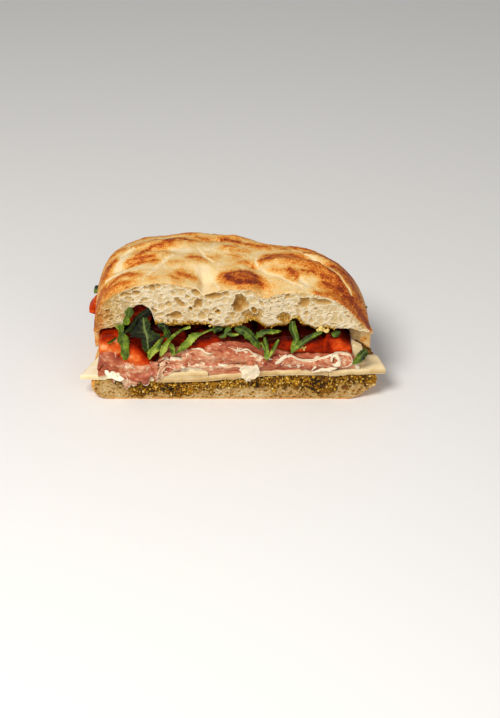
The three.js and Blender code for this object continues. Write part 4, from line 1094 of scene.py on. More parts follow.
def ham_shape(name, below, seed):
    left, right, reach, outline, wave, folds, tone = HAM_LAYERS[name]
    top_curve = curve_through(outline)

    def bottom(x, y, a, b):
        return support(below, x, y, 3) + 0.1

    def top(x, y, a, b):
        low = bottom(x, y, a, b)
        waves = wave * np.sin(0.8 * x + 0.12 * y) * np.cos(0.35 * x - 0.1 * y)
        waves = waves + 0.35 * rough(x, 0.4 * y, seed, 3, 121)
        thinning = 0.6 * smooth(0.8, 1, edge_of(a, b))
        return np.maximum(mix(top_curve(x) + waves, low + 2, thinning), low + THINNEST_HAM)

    def wall(x, y, z, share):
        ridge = np.abs(np.sin(math.pi * fold_phase(x, z, share, folds, seed))) ** 0.6
        ends = np.sin(math.pi * share) ** 0.4
        return ends * (1.4 * ridge - 1 + 0.5 * noise(x, 0, z, 6, 123 + seed))

    shape = pad(
        filling_plan(left, right, HAM_FRONT, reach), top, bottom,
        across=int(STEPS_PER_MM * (right - left)), along=30, rows=16, wall=wall, crowding=0.3,
    )
    x, y, z = shape.vertices.T
    crease = np.abs(np.sin(math.pi * fold_phase(x, z, shape.marks["share"], folds, seed)))
    on_wall = shape.marks["part"] == WALL
    # The front is painted darker in the creases between its folds, as shade
    shape.marks["tone"] = tone + 0.12 * noise(x, 0, 2 * z, 8, 133 + seed) - 0.3 * on_wall * (1 - crease) ** 3
    shape.marks["fat"] = 0.75 * smooth(0.3, 0.7, rough(x, y, z, 9, 137 + seed))
    return shape


# Ribbons: leaves, stems, frills and strips


def along_spine(points, stations):
    """Points and directions along a smooth line through a few points"""
    points = np.array(points, float)
    lengths = np.concatenate([[0], np.cumsum(np.linalg.norm(np.diff(points, axis=0), axis=1))])
    curves = [curve_through(np.stack([lengths, points[:, n]], 1)) for n in range(3)]
    s = np.linspace(0, lengths[-1], stations + 1)
    centres = np.stack([curve(s) for curve in curves], 1)
    tangents = np.gradient(centres, axis=0)
    return centres, tangents / np.linalg.norm(tangents, axis=1)[:, None]


def pressed(places, against, thickness, gap, stiff):
    """Draws a grid of places forwards until it clears what stands behind it.

    A stiff one moves as a whole at each station, and a soft one drapes itself over what it meets.
    """
    behind = fronts(against, places[..., 0], places[..., 2])
    free = np.where(np.isnan(behind), 0, np.minimum(behind - thickness / 2 - gap - places[..., 1], 0))
    if stiff:
        free = np.repeat(free.min(1)[:, None], places.shape[1], 1)
    places[..., 1] += softened(free, 3, -1)


def thin_solid(places, normal, thickness):
    """A thin closed solid around a grid of places. Its marks are c, across it, and s, along it."""
    s = np.linspace(0, 1, places.shape[0])[:, None]
    c = np.linspace(-1, 1, places.shape[1])[None]
    edge = np.sqrt(np.clip(1 - c**4, 0.05, 1)) * np.sqrt(np.clip(1 - (2 * s - 1) ** 20, 0.05, 1))
    half = (thickness / 2 * edge)[..., None] * normal
    grid = np.arange(edge.size).reshape(edge.shape)
    corners = [grid[:-1, :-1], grid[:-1, 1:], grid[1:, 1:], grid[1:, :-1]]
    front = np.stack([corner.ravel() for corner in corners], 1)
    border = np.concatenate([grid[0, :-1], grid[:-1, -1], grid[-1, :0:-1], grid[:0:-1, 0]])
    following = np.roll(border, -1)
    rim = np.stack([following, border, border + grid.size, following + grid.size], 1)
    whole = np.ones(grid.shape)
    return Shape(
        np.concatenate([(places + half).reshape(-1, 3), (places - half).reshape(-1, 3)]),
        [np.concatenate([front, front[:, ::-1] + grid.size, rim])],
        c=np.tile((c * whole).ravel(), 2), s=np.tile((s * whole).ravel(), 2),
    )


def ribbon(spine, widths, facing, thickness, stations, across, wave=None, sweep=0, against=(), gap=0.15):
    """A thin closed ribbon along a spine, with its half widths to the left and the right"""
    centres, tangents = along_spine(spine, stations)
    normal = np.array(facing, float) / np.linalg.norm(facing)
    sides = np.cross(tangents, normal)
    sides /= np.linalg.norm(sides, axis=1)[:, None]
    s = np.linspace(0, 1, stations + 1)[:, None]
    c = np.linspace(-1, 1, across + 1)[None]
    left, right = widths(s)
    offset = np.where(c < 0, c * left, c * right)
    places = centres[:, None] + offset[..., None] * sides[:, None]
    places = places + (sweep * np.abs(offset))[..., None] * tangents[:, None]
    if wave is not None:
        places = places + wave(s, c)[..., None] * normal
    if against:
        pressed(places, against, thickness, gap, stiff=True)
    return thin_solid(places, normal, thickness)


def outlined(left, right=None):
    """Half widths to the left and the right, given at even steps along a ribbon"""
    sides = [
        curve_through([(n / (len(widths) - 1), width) for n, width in enumerate(widths)])
        for widths in (left, right or left)
    ]
    return lambda s: (sides[0](s), sides[1](s))


def length_of(points):
    return sum(math.dist(*pair) for pair in zip(points, points[1:]))


def line_places(points, count):
    """Places (x, z) at even steps along a smooth line through a few points"""
    return along_spine([(x, 0, z) for x, z in points], count)[0][:, [0, 2]]


def draped(
    top, bottom, against, seed, folds, ragged, tone, front=HAM_FRONT - 0.6, rim=0, hem=0, fat=0,
):
    """A soft slice of ham that hangs between two lines (x, z) over what stands behind it.

    Folds is how many soft ridges run across it. Rim, hem and fat say how white its top, its ragged lower edge
    and the whole of it are.
    """
    stations = int(STEPS_PER_MM * np.linalg.norm(np.subtract(top[-1], top[0])))
    across = 16
    high, low = line_places(top, stations), line_places(bottom, stations)
    s = np.linspace(0, 1, stations + 1)[:, None]
    c = np.linspace(0, 1, across + 1)[None]
    hang = low - high
    fray = 1 + ragged * (rough(low[:, 0], 0, seed, 2.2, 241) - 0.2) / np.linalg.norm(hang, axis=1)
    xz = high[:, None] + hang[:, None] * (c * fray[:, None])[..., None]
    xz = xz + 0.35 * np.stack([noise(*xz.transpose(2, 0, 1), seed, 3, 243 + n) for n in (0, 1)], -1)
    x, z = xz[..., 0], xz[..., 1]
    ridge = np.sin(math.pi * folds * c + 2.2 * noise(x, 0, seed, 9, 245) + 0.4 * s)
    y = front - 0.5 * np.sin(math.pi * c) - 0.45 * ridge - 0.5 * rough(x, 0, z, 4, 247 + seed)
    wrinkles = threads(0.8 * x + 0.6 * z, z - 0.3 * x, 6, 1.6, 271 + seed)
    y = y + 0.9 * smooth(0.12, 0, c) - 0.45 * wrinkles
    places = np.stack([x, y, z], -1)
    pressed(places, against, SHEET_THICKNESS, -0.25, stiff=False)
    shape = thin_solid(places, np.array((0, -1, 0.12)), SHEET_THICKNESS)
    # The ridges of the folds and wrinkles stand forward; the tone paints them lighter and the hollows between
    # them darker, as light and shade
    ridge = np.tile((ridge + 0.8 * wrinkles).ravel(), 2)
    share = (shape.marks["c"] + 1) / 2
    vx, _, vz = shape.vertices.T
    streaks = noise(0.7 * vx + 0.9 * vz, 0, 0.8 * vz - 0.4 * vx, 1.6, 251 + seed)
    shape.marks["tone"] = tone + 0.16 * ridge + 0.24 * streaks + 0.26 * noise(vx, 0, vz, 7, 253 + seed)
    top_rim = rim * smooth(0.2, 0.07, share + 0.03 * noise(vx, 0, 0, 3, 255))
    low_rim = hem * smooth(0.8, 0.95, share) * smooth(-0.5, 0.2, noise(vx, 0, vz, 2.4, 257))
    marbling = np.maximum(0.5 * smooth(0.35, 0.8, streaks), 0.7 * threads(vx, 1.6 * vz, 7, 1.1, 259 + seed))
    shape.marks["fat"] = np.maximum.reduce([top_rim, low_rim, marbling, np.full(len(vx), fat)])
    return shape


def strand(points, half_width, against, lift=0.1, facing=(0, -1, 0.5), tone=1.0, fat=1.0):
    """A white line of fat, or a thin strip of ham, along points (x, z) on the front of the ham"""
    spine = [(x, HAM_FRONT - 0.6, z) for x, z in points]
    length = length_of(points)

    def widths(s):
        uneven = 1 + 0.5 * noise(length * s, 0, half_width, 2, 263)
        return (half_width * uneven * np.sqrt(np.sin(math.pi * mix(0.04, 0.96, s))),) * 2

    shape = ribbon(
        spine, widths, facing, thickness=0.6, stations=max(int(2 * length), 8), across=6,
        wave=lambda s, c: 0.3 * noise(length * s, 3 * c, half_width, 2.4, 261) + lift * (1 - c * c),
        against=against, gap=-0.25,
    )
    shape.fill(fat=fat, tone=tone)
    return shape


ham_trees = []
ham_shapes = {}
for n, name in enumerate(HAM_LAYERS):
    if name == "prosciutto_fold":
        continue
    ham_shapes[name] = ham_shape(name, pile + ham_trees, n)
    ham_trees.append(ham_shapes[name].tree())

fat_strip = ribbon(
    [(9.5, -37, 30.4), (9.4, -42, 29.8), (9.4, -44.8, 26), (9, -45, 21), (8, -44.6, 14.6)],
    outlined([1.4, 1.6, 2, 5.6, 4.6, 1], [1.2, 1.4, 2.4, 5.4, 4.8, 1]),
    facing=(0, -1, 0.7), thickness=1.2, stations=60, across=18,
    wave=lambda s, c: (
        0.5 * np.sin(9 * s) * c
        + 0.9 * rough(12 * s, 3.4 * c, 0, 2, 147) + 0.4 * rough(12 * s, 3.4 * c, 5, 0.8, 149)
    ),
    against=pile + ham_trees,
)
torn = fat_strip.vertices
fat_strip.vertices[:, 0] += 0.9 * rough(torn[:, 0], 0, torn[:, 2], 2.6, 151)
fat_strip.vertices[:, 2] += 0.8 * rough(torn[:, 0], 5, torn[:, 2], 2.2, 153)
fat_strip.marks["fat"] = 1.4 * smooth(26.5, 24.6, torn[:, 2])
fat_strip.fill(tone=0.5)
ham_shapes["prosciutto_fold"] = ham_shape("prosciutto_fold", pile + ham_trees, 7)
ham_trees.append(ham_shapes["prosciutto_fold"].tree())

# Slices that drape over the front, by the layer that they belong to: top and bottom lines and how they look
DRAPED = [
    ("prosciutto_left", [(-67.4, 20.6), (-59.2, 19.4), (-53.2, 17.6), (-46.5, 18.6), (-40.6, 20.4)],
     [(-67.3, 14.2), (-62.6, 11.4), (-57.8, 10.2), (-52.8, 12.6), (-49.2, 11.8), (-43.6, 13.6),
      (-40.5, 16.1)],
     dict(folds=1.4, ragged=2.8, tone=0.58, hem=1, front=HAM_FRONT - 1)),
    ("prosciutto_left",
     [(-72.6, 31), (-69.3, 33.2), (-63.9, 31.4), (-58.7, 27.6), (-52.9, 25), (-46.8, 25.6), (-40.6, 26)],
     [(-69.8, 22.5), (-66.3, 19.6), (-61, 17.4), (-56.3, 15.2), (-52.2, 14.4), (-46.7, 15.4), (-41.7, 17)],
     dict(folds=1.6, ragged=0.8, tone=0.38, rim=0.3)),
    ("prosciutto_centre_low", [(-36.4, 21.6), (-30, 24.6), (-20, 25), (-8, 24.6), (0, 24), (7.6, 24.4)],
     [(-40.6, 15), (-33.4, 19), (-24, 22.4), (-18, 21.2), (-13.2, 19.7), (-9.6, 21), (-2.9, 21.6),
      (7.3, 22.4)],
     dict(folds=1, ragged=0.9, tone=0.86, hem=0.5)),
    ("prosciutto_centre_high", [(-33.8, 28.9), (-31.1, 29.2), (-27.5, 28.2), (-25, 27)],
     [(-38.6, 18.6), (-34.6, 20.4), (-29.7, 22.8), (-25, 23.2)],
     dict(folds=1, ragged=0.6, tone=0.5, rim=1)),
    ("prosciutto_centre_high",
     [(-28, 33), (-24.4, 34.8), (-20.8, 35), (-15, 33), (-6.4, 32), (3.6, 30.4), (8.6, 28)],
     [(-27.2, 23.6), (-20.4, 24.4), (-14, 23.4), (-6, 24), (2, 24.6), (8, 24.6)],
     dict(folds=1.3, ragged=1, tone=0.6, hem=0.7)),
    ("prosciutto_right_high", [(14.5, 29.4), (21.1, 30.1), (25.9, 30.4), (30.7, 29.7)],
     [(12.6, 22.8), (19, 22.2), (27.2, 23.4), (32, 24.4)],
     dict(folds=0.8, ragged=0.5, tone=0.16)),
    ("prosciutto_right_high",
     [(22.8, 27), (25.6, 29.2), (28.8, 30.8)], [(22.8, 25), (26, 26.4), (28.6, 28.8)],
     dict(folds=0.4, ragged=0.2, tone=0.9, fat=1.2)),
    ("prosciutto_right_low",
     [(28.3, 30.1), (31.3, 30.4), (35.5, 28.4), (40.4, 27.2), (45.2, 28.3), (49.3, 29.7), (53.5, 31.1)],
     [(25.6, 24), (30.8, 22.8), (34.5, 21.6), (39.3, 20), (43.6, 19.8), (48.3, 21), (54.6, 22.4)],
     dict(folds=1.2, ragged=0.7, tone=0.44, rim=0.8, hem=0.7)),
    ("prosciutto_roll", [(53.6, 30.6), (56.4, 32), (60.6, 31.7), (63.6, 30.1)],
     [(54.4, 22.2), (57.6, 22), (61.4, 23), (64.8, 25.4)],
     dict(folds=0.8, ragged=0.3, tone=0.48, rim=0.9)),
    ("prosciutto_fold",
     [(-15.6, 35.6), (-11.2, 37.8), (-6.4, 38.2), (-2.8, 37.1), (3.6, 34.6), (11.5, 31.5), (16.3, 29)],
     [(-15.5, 31.4), (-9, 30.4), (-4, 29), (2.6, 26.4), (9, 24.4), (16, 23)],
     dict(folds=1, ragged=0.4, tone=0.4, rim=0.4)),
]
# White fat on the front: the layer that it belongs to, half width, points (x, z)
FAT_STRANDS = [
    ("prosciutto_fold", 0.45, [(-2.8, 35.7), (3.1, 33.5), (7.3, 34), (11.5, 31.3), (17, 28.6)]),
    ("prosciutto_centre_high", 0.6, [(-22.6, 34.6), (-18.4, 34.3), (-14.8, 33), (-11.6, 32.2)]),
    ("prosciutto_centre_high", 0.55, [(-34.4, 27), (-33.4, 28.6), (-31.1, 29), (-27.8, 28.2)]),
    ("prosciutto_centre_high", 0.9, [(-28.4, 24.2), (-26, 23.4)]),
    ("prosciutto_left", 0.3, [(-63.9, 32.6), (-63.5, 29.4)]),
    ("prosciutto_left", 0.3, [(-58.9, 25.8), (-53, 21.9)]),
    ("prosciutto_left", 0.35, [(-59, 18.8), (-57.6, 16), (-57.8, 13.4)]),
    ("prosciutto_right_low", 1.1, [(42.6, 19.9), (47.1, 20.9), (51.3, 21.8), (56.4, 22.9)]),
    ("prosciutto_right_low", 0.7, [(42.3, 20.6), (43.6, 23), (44.9, 24.5)]),
    ("prosciutto_right_low", 0.5,
     [(29.8, 30.2), (31.6, 30.2), (35.5, 28.2), (40.4, 27.3), (45.2, 28.3), (49.3, 29.8)]),
    ("prosciutto_roll", 0.35,
     [(52.9, 31.1), (56.4, 31.9), (60.6, 31.6), (63.4, 30), (64.3, 26.9), (62.4, 24.2), (58.8, 22.8)]),
    ("prosciutto_roll", 1.3,
     [(53, 27), (53.4, 29.4), (55.4, 30), (57, 28.4), (57, 26), (55.2, 24.8), (53.4, 25.6)]),
]
# The frilly pale end beside the left slice: layer, half width and points
FRILLS = [
    ("prosciutto_left", 1.1,
     [(-42.2, 15.6), (-40.6, 18.6), (-39.4, 22), (-38, 25), (-36.2, 26.8), (-34, 26.4)]),
    ("prosciutto_left", 0.8, [(-39.8, 17.2), (-38.4, 20.6), (-36.6, 23.4), (-35.2, 24)]),
]
for n, (name, top, bottom, looks) in enumerate(DRAPED):
    sheet = draped(top, bottom, cheese_trees + ham_trees, n, **looks)
    ham_shapes[name] = joined([ham_shapes[name], sheet])
    ham_trees.append(sheet.tree())
for name, half_width, points in FAT_STRANDS:
    white = strand(points, half_width, cheese_trees + ham_trees)
    ham_shapes[name] = joined([ham_shapes[name], white])
for name, half_width, points in FRILLS:
    frill = strand(points, half_width, cheese_trees + ham_trees, lift=0.5, tone=0.95, fat=0.45)
    fx, _, fz = frill.vertices.T
    frill.vertices[:, 0] += 0.9 * rough(fx, 0, fz, 2, 265)
    frill.vertices[:, 1] -= 0.5 * np.abs(rough(fx, 3, fz, 1.6, 267))
    ham_shapes[name] = joined([ham_shapes[name], frill])
for name, shape in ham_shapes.items():
    add_piece(name + "_slice", shape, HAM, [name])
add_piece("prosciutto_hanging_fat", fat_strip, HAM, ["prosciutto_fat_strip"])


def corner_bottom(x, y, a, b):
    return support(ham_trees, np.minimum(x, 67), y) + 0.1


def corner_top(x, y, a, b):
    return 36 - 0.6 * (x - 64)


cheese_corner = pad(
    rounded_plan(64.4, 70, lambda x: 4, front=-39.4, rounding=0.1, turn=8),
    corner_top, corner_bottom, across=14, along=10, rows=8, wall=cheese_wall,
)
cheese_corner.fill(edge=0.5)
add_piece("cheese_corner_piece", cheese_corner, CHEESE, ["cheese_corner"])

# Bread lid

# The height of its rim on each side and at the back
RIM_LEFT = 44
RIM_RIGHT = 42.4
RIM_BACK = 47
# A side of the lid thickens over the first of its two widths, and is whole over the second
WALL_LEFT = (3.6, 2.2)
WALL_RIGHT = (14.5, 9)
# How much further in the torn edge ends above the notch
HOLLOW_DEPTH = 6
# The crumb is fine between these places, and coarse to their left and right
FINE_FROM, FINE_TO = 14, 31
LID_FOAM = [
    dict(seed=171, left=-LID_HALF, right=FINE_FROM, low=44, high=75, spacing=3.6, sizes=(0.4, 1.1),
         depths=(0.2, 1.5)),
    dict(seed=173, left=FINE_TO, right=LID_HALF, low=44, high=70, spacing=3.4, sizes=(0.4, 1.1),
         depths=(0.2, 1.3)),
    dict(seed=177, left=FINE_FROM, right=FINE_TO, low=48, high=69, spacing=1.7, sizes=(0.3, 0.5),
         depths=(1.2, 2.8)),
]
lid_bubbles = sum((foam(**part, stained=0.1, pores=LID_PORES) for part in LID_FOAM), LID_PORES)


def side_drop(x, y):
    left = 13 * smooth(-38, -35, y) * smooth(-16, -28, y)
    right = 14 * smooth(-35, -32, y) * smooth(2, -16, y)
    return np.where(x < 0, left, right)


def lid_rim(x, y):
    return mix(np.where(x < 0, RIM_LEFT, RIM_RIGHT), RIM_BACK, smooth(-36, 0, y))


def lid_under(x, y, a, b):
    inside = mix(LID_UNDER, lid_rim(x, y), smooth(0.9, 1, np.abs(a))) + 0.4 * rough(x, y, 0, 3, 161)
    hollow = HOLLOW_DEPTH * smooth(-63, -57, x) * smooth(-40, -45, x)
    ragged = 0.55 * rough(x, 0, 0, 2.2, 163) * smooth(1, 0.97, np.abs(a))
    at_cut = lid_under_at_cut(LID_HALF * a) + ragged
    height = mix(at_cut, inside, smooth(0, TEAR_DEPTH, y - CUT_Y - 1 - hollow))
    reach, solid = (np.where(a < 0, left, right) / LID_HALF for left, right in zip(WALL_LEFT, WALL_RIGHT))
    wall = smooth(1 - reach, 1 - solid, np.abs(a))
    return height - side_drop(x, y) * wall


def lid_top(x, y, a, b):
    rim = lid_rim(x, y)
    crown = mix(CROWN_LEFT, CROWN_RIGHT, smooth(-30, 20, x))
    side = np.where(a < 0, (1 - a**10) ** 0.45, (1 - a**6) ** 0.75)
    dome = rim + (crown - rim) * side
    height = mix(lid_top_at_cut(LID_HALF * a), dome, smooth(0.02, 0.3, b))
    back = np.sqrt(1 - b**4.4)
    inner = smooth(1, 0.85, edge_of(a, b))
    relief = crust_relief(x, y) * inner * smooth(-0.02, 0.06, b)
    grain = 0.2 * rough(x, y, 0, 2.6, 167) + 0.22 * browned(x, y) * rough(x, y, 0, 1.1, 168, 2)
    fine = (0.7 * browned(x, y) - 0.8 * creased(x, y) + grain) * inner
    level = rim + (height - rim) * back + relief + fine
    lip = lid_under(x, y, a, b) + LIP
    return np.maximum(mix(level, lip, smooth(0.985, 1, np.abs(a))), lip)


def lid_wall(x, y, z, share):
    fade = smooth(0, 0.06, share) * smooth(1, 0.94, share)
    dents = at_wall(lambda u, v: bubble_field(lid_bubbles, u, v)[0], x, z)
    return -fade * (dents + 0.25 * rough(x, 0, z, 1.4, 169))


lid = pad(
    rounded_plan(-LID_HALF, LID_HALF, bread_depth, lean=BREAD_LEAN),
    lid_top, lid_under, across=360, along=120, rows=76, wall=lid_wall, crowding=0.5, thin_sides=True,
)
lx, ly, lz = lid.vertices.T
top_line = lid_top_at_cut(lx) - lz
lid_line = np.maximum(smooth(1.3, 0.5, top_line), 0.7 * smooth(-64, -75, lx))
lid_brown = np.maximum(browned(lx, np.maximum(ly, -38.5)) - 0.6 * creased(lx, ly), 0)
low_side = smooth(60, 46, lz) * (np.abs(lx) > 60) + smooth(62, 50, lz) * (ly > 5)
lid_brown = np.maximum(lid_brown, (0.55 + 0.16 * rough(lx, ly, lz, 10, 181)) * np.clip(low_side, 0, 1))
lid_brown = mix(lid_brown, 0.24 + 0.3 * rough(lx, ly, lz, 5, 185), smooth(45, 42.5, lz))
bread_marks(lid, lid_bubbles, lid_brown, lid_line, base=0.12, gain=0.95)
lid.marks["pit"] += 0.36 * smooth(-48, -73, lx) + 0.2 * smooth(5, 0, top_line)
under_edge = lz - lid_under_at_cut(lx)
smeared = smooth(3.2, 0, under_edge) * (0.62 + 0.6 * rough(lx, 0, lz, 4, 183))
smeared *= smooth(-46, -41, lx) * smooth(56, 50, lx)
lid.marks["stain"] = np.where(lid.marks["part"] == WALL, np.maximum(lid.marks["stain"], smeared), 0)
under_part = lid.marks["part"] == BOTTOM
inner_under = under_part & (np.abs(lid.marks["a"]) < 0.93) & (lid.marks["b"] < 0.93)
lid.marks["crust"][inner_under] = 0
lid.marks["stain"][inner_under] = 0.5
add_piece("lid", lid, BREAD, ["bread_lid"])
lid_tree = lid.tree()

# Upper pesto: a thin smear under the lid with grains along the cut

EDGE_GRAINS = 460
CRUMBS = 70


def pesto_upper_top(x, y, a, b):
    return softened(undersides([lid_tree], x, y), 1, -1) - 0.1


def pesto_upper_bottom(x, y, a, b):
    return pesto_upper_top(x, y, a, b) - 1.1 + 0.4 * rough(x, y, 0, 2, 191)


upper_core = pad(
    rounded_plan(-41, 54, lambda x: bread_depth(x) - 12, front=CUT_Y + 0.6),
    pesto_upper_top, pesto_upper_bottom, across=150, along=40, rows=3, crowding=0.6,
)
upper_core.marks["tone"] = 0.45 + 0.2 * rough(*upper_core.vertices.T, 1.8, 193)


def edge_grains(count, seed):
    """Grains on the torn lower edge of the lid"""
    draw = np.random.default_rng(seed)
    x = draw.uniform(-41.5, 55, count)
    z = lid_under_at_cut(x) + draw.normal(0.3, 0.7, count)
    y = np.full(count, CUT_Y - 0.1) + draw.uniform(-0.2, 0.5, count)
    keep = noise(x, 0, z, 5, 197) > -0.1
    centres = np.stack([x, y, z], 1)[keep]
    grains = blobs(centres, draw.uniform(0.28, 0.6, len(centres)), seed + 1, 0.3)
    tone = draw.choice([0.34, 0.54, 0.7, 0.86, 1], len(centres), p=[0.1, 0.2, 0.28, 0.26, 0.16])
    grains.marks["tone"] = per_blob(tone)
    return grains


def hanging_crumbs(seed):
    """A pale crumb with pesto that hangs from the lid"""
    draw = np.random.default_rng(seed)
    along = draw.uniform(0, 1, CRUMBS)
    neck = along < 0.3
    x = np.where(neck, 47, mix(43.2, 50.6, along)) + draw.normal(0, 0.35, CRUMBS)
    z = np.where(neck, 44.8 + 7 * along, 45 - 0.7 * np.sin(9 * along)) + draw.uniform(-0.5, 0.5, CRUMBS)
    y = np.full(CRUMBS, CUT_Y - 0.6) + draw.uniform(-0.6, 0.6, CRUMBS)
    crumbs = blobs(np.stack([x, y, z], 1), draw.uniform(0.4, 0.85, CRUMBS), seed + 1, 0.3)
    crumbs.marks["tone"] = per_blob(draw.uniform(0.9, 1.3, CRUMBS))
    return crumbs


pesto_upper = joined([upper_core, edge_grains(EDGE_GRAINS, seed=201), hanging_crumbs(seed=205)])
add_piece("pesto_upper_layer", pesto_upper, PESTO, ["pesto_upper"])
upper_tree = upper_core.tree()

# Tomato slices

TOMATO_CARRIED_X = 65
THINNEST_TOMATO = 1.2
# How far the top falls at its edges, how steeply the side slice rises outwards, and the right one's slant
EDGE_DROP = 3
OUTWARDS = 0.42
SLANT = 5
# Each slice: its plan, the points of its top, its kind, and how pale its flesh is; the low values of the
# slices under the lid paint their shade. A full slice fills the room up to the lid behind the cut, a low one
# keeps its own top, one rises outwards, and one is on tomato.
TOMATO_SLICES = [
    ("tomato_left", filling_plan(-71.4, -60.2, -42, 0.5), [(-73, 42), (-66, 43.4), (-60, 43)], "full", 0.72),
    ("tomato_diagonal", rounded_plan(-59.6, -44.4, lambda x: 4.6, front=-42.4, rounding=0.5),
     [(-60, 36), (-56, 38), (-52, 35), (-48, 30), (-44, 26)], "low", 0.66),
    ("tomato_mid_left", filling_plan(-58.6, -26, -36.4, 0.82), [(-58, 44), (-26, 44)], "full", 0.24),
    ("tomato_centre", filling_plan(-25, 10.6, -41.2, 0.86),
     [(-25, 38.5), (-16, 41.6), (-8, 42.2), (0, 41), (10, 38.6)], "full", 0.4),
    ("tomato_right_centre", filling_plan(11.6, 48, -41, 0.88),
     [(11, 38.6), (18, 40), (24, 41), (34, 41.8), (48, 42)], "full", 0.32),
    ("tomato_right", filling_plan(48.8, 63.9, -41.4, 0.72),
     [(48, 41.8), (53, 42.8), (58.4, 43.6), (61, 41), (64, 37.8)], "full", 0.36),
    ("tomato_side", rounded_plan(-80.4, -62, lambda x: 15, front=-5, rounding=0.7),
     [(-80, 41), (-72, 40.6), (-61, 39)], "outwards", 0.5),
    ("tomato_notch", rounded_plan(-56, -45.4, lambda x: 4, front=-35.6, rounding=0.3),
     [(-56, 56.4), (-51, 58.6), (-45, 58.4)], "on tomato", 0.4),
]
tomato_trees = []


def tomato_shape(plan, outline, kind, tone, seed):
    below = tomato_trees if kind == "on tomato" else cheese_trees + ham_trees
    top_curve = curve_through(outline)

    def bottom(x, y, a, b):
        if kind == "outwards":
            overhang = np.maximum(-TOMATO_CARRIED_X - x, 0)
            return support(below, np.maximum(x, -TOMATO_CARRIED_X), y, 3) + 0.1 + OUTWARDS * overhang
        return bridged(support(below, x, np.maximum(y, CUT_Y - 1.4), 3), 1) + 0.1

    def top(x, y, a, b):
        ceiling = undersides([lid_tree, upper_tree], x, y)
        ceiling = softened(np.where(np.isnan(ceiling), 60, ceiling), 1, -1) - 0.15
        rounded = top_curve(x) - EDGE_DROP * smooth(0.75, 1, edge_of(a, b))
        full = smooth(0.16, 0.36, b) * smooth(1, 0.8, b) * smooth(58, 50, x) if kind == "full" else 0
        level = np.minimum(mix(rounded, ceiling, full), ceiling)
        return np.maximum(level, bottom(x, y, a, b) + THINNEST_TOMATO)

    def wall(x, y, z, share):
        ends = np.sin(math.pi * share) ** 0.35
        slices = np.abs(np.sin(0.42 * z + 0.9 * noise(x, 0, seed, 9, 211))) ** 0.5
        return ends * (0.3 + 0.9 * slices + 0.8 * rough(x, y, z, 6, 213 + seed))

    shape = pad(plan, top, bottom, across=64, along=26, rows=20, wall=wall, crowding=0.3)
    x, y, z = shape.vertices.T
    x -= SLANT * smooth(30, 43, z) * smooth(50, 63, x)
    pale = smooth(0.25, 0.8, rough(x, y, 1.4 * z, 7, 217 + seed))
    # Painted shade: the front darkens towards its top under the lid, and the slices are darker still a little
    # way behind the cut
    shade = smooth(6, 0, top_curve(x) - z) * (y < CUT_Y + 8)
    shape.marks["tone"] = tone + 0.22 * pale + 0.12 * rough(x, y, z, 3, 219) - 0.36 * shade
    shape.marks["tone"] -= 0.3 * smooth(CUT_Y + 1, CUT_Y + 8, y) * smooth(-12, -20, y)
    return shape


def tomato_seeds(x, z, spread_x, spread_z, count, seed):
    """Seeds on the front of a slice"""
    draw = np.random.default_rng(seed)
    sx = x + spread_x * draw.normal(0, 1, count)
    sz = z + spread_z * draw.normal(0, 1, count)
    behind = fronts(tomato_trees, sx, sz)
    keep = ~np.isnan(behind)
    centres = np.stack([sx, behind - 0.1, sz], 1)[keep]
    seeds = blobs(centres, draw.uniform(0.5, 0.8, len(centres)), seed + 1, 0.4)
    seeds.fill(seed=1)
    return seeds


tomato_shapes = {}
for n, (name, plan, outline, kind, tone) in enumerate(TOMATO_SLICES):
    tomato_shapes[name] = tomato_shape(plan, outline, kind, tone, 10 * n)
    tomato_trees.append(tomato_shapes[name].tree())
tomato_shapes["tomato_right_centre"] = joined([
    tomato_shapes["tomato_right_centre"], tomato_seeds(
        x=37.5, z=35.2, spread_x=1.2, spread_z=0.8, count=9, seed=223,
    ),
])
for name, shape in tomato_shapes.items():
    add_piece(name + "_slice", shape, TOMATO, [name])

# Rocket

FORWARD = (0, -1, 0.25)
UP = (0, -0.2, 1)


def serrated(widths, teeth, deep, seed):
    """The half widths of a leaf with small uneven teeth along its edges"""
    def toothed(s):
        sides = []
        for n, half_width in enumerate(widths(s)):
            phase = teeth * s + 0.4 * noise(7 * s, n, seed, 1, 271)
            sides.append(half_width * (1 + deep * (0.5 - 1.2 * np.abs(np.sin(math.pi * phase)) ** 0.7)))
        return sides

    return toothed


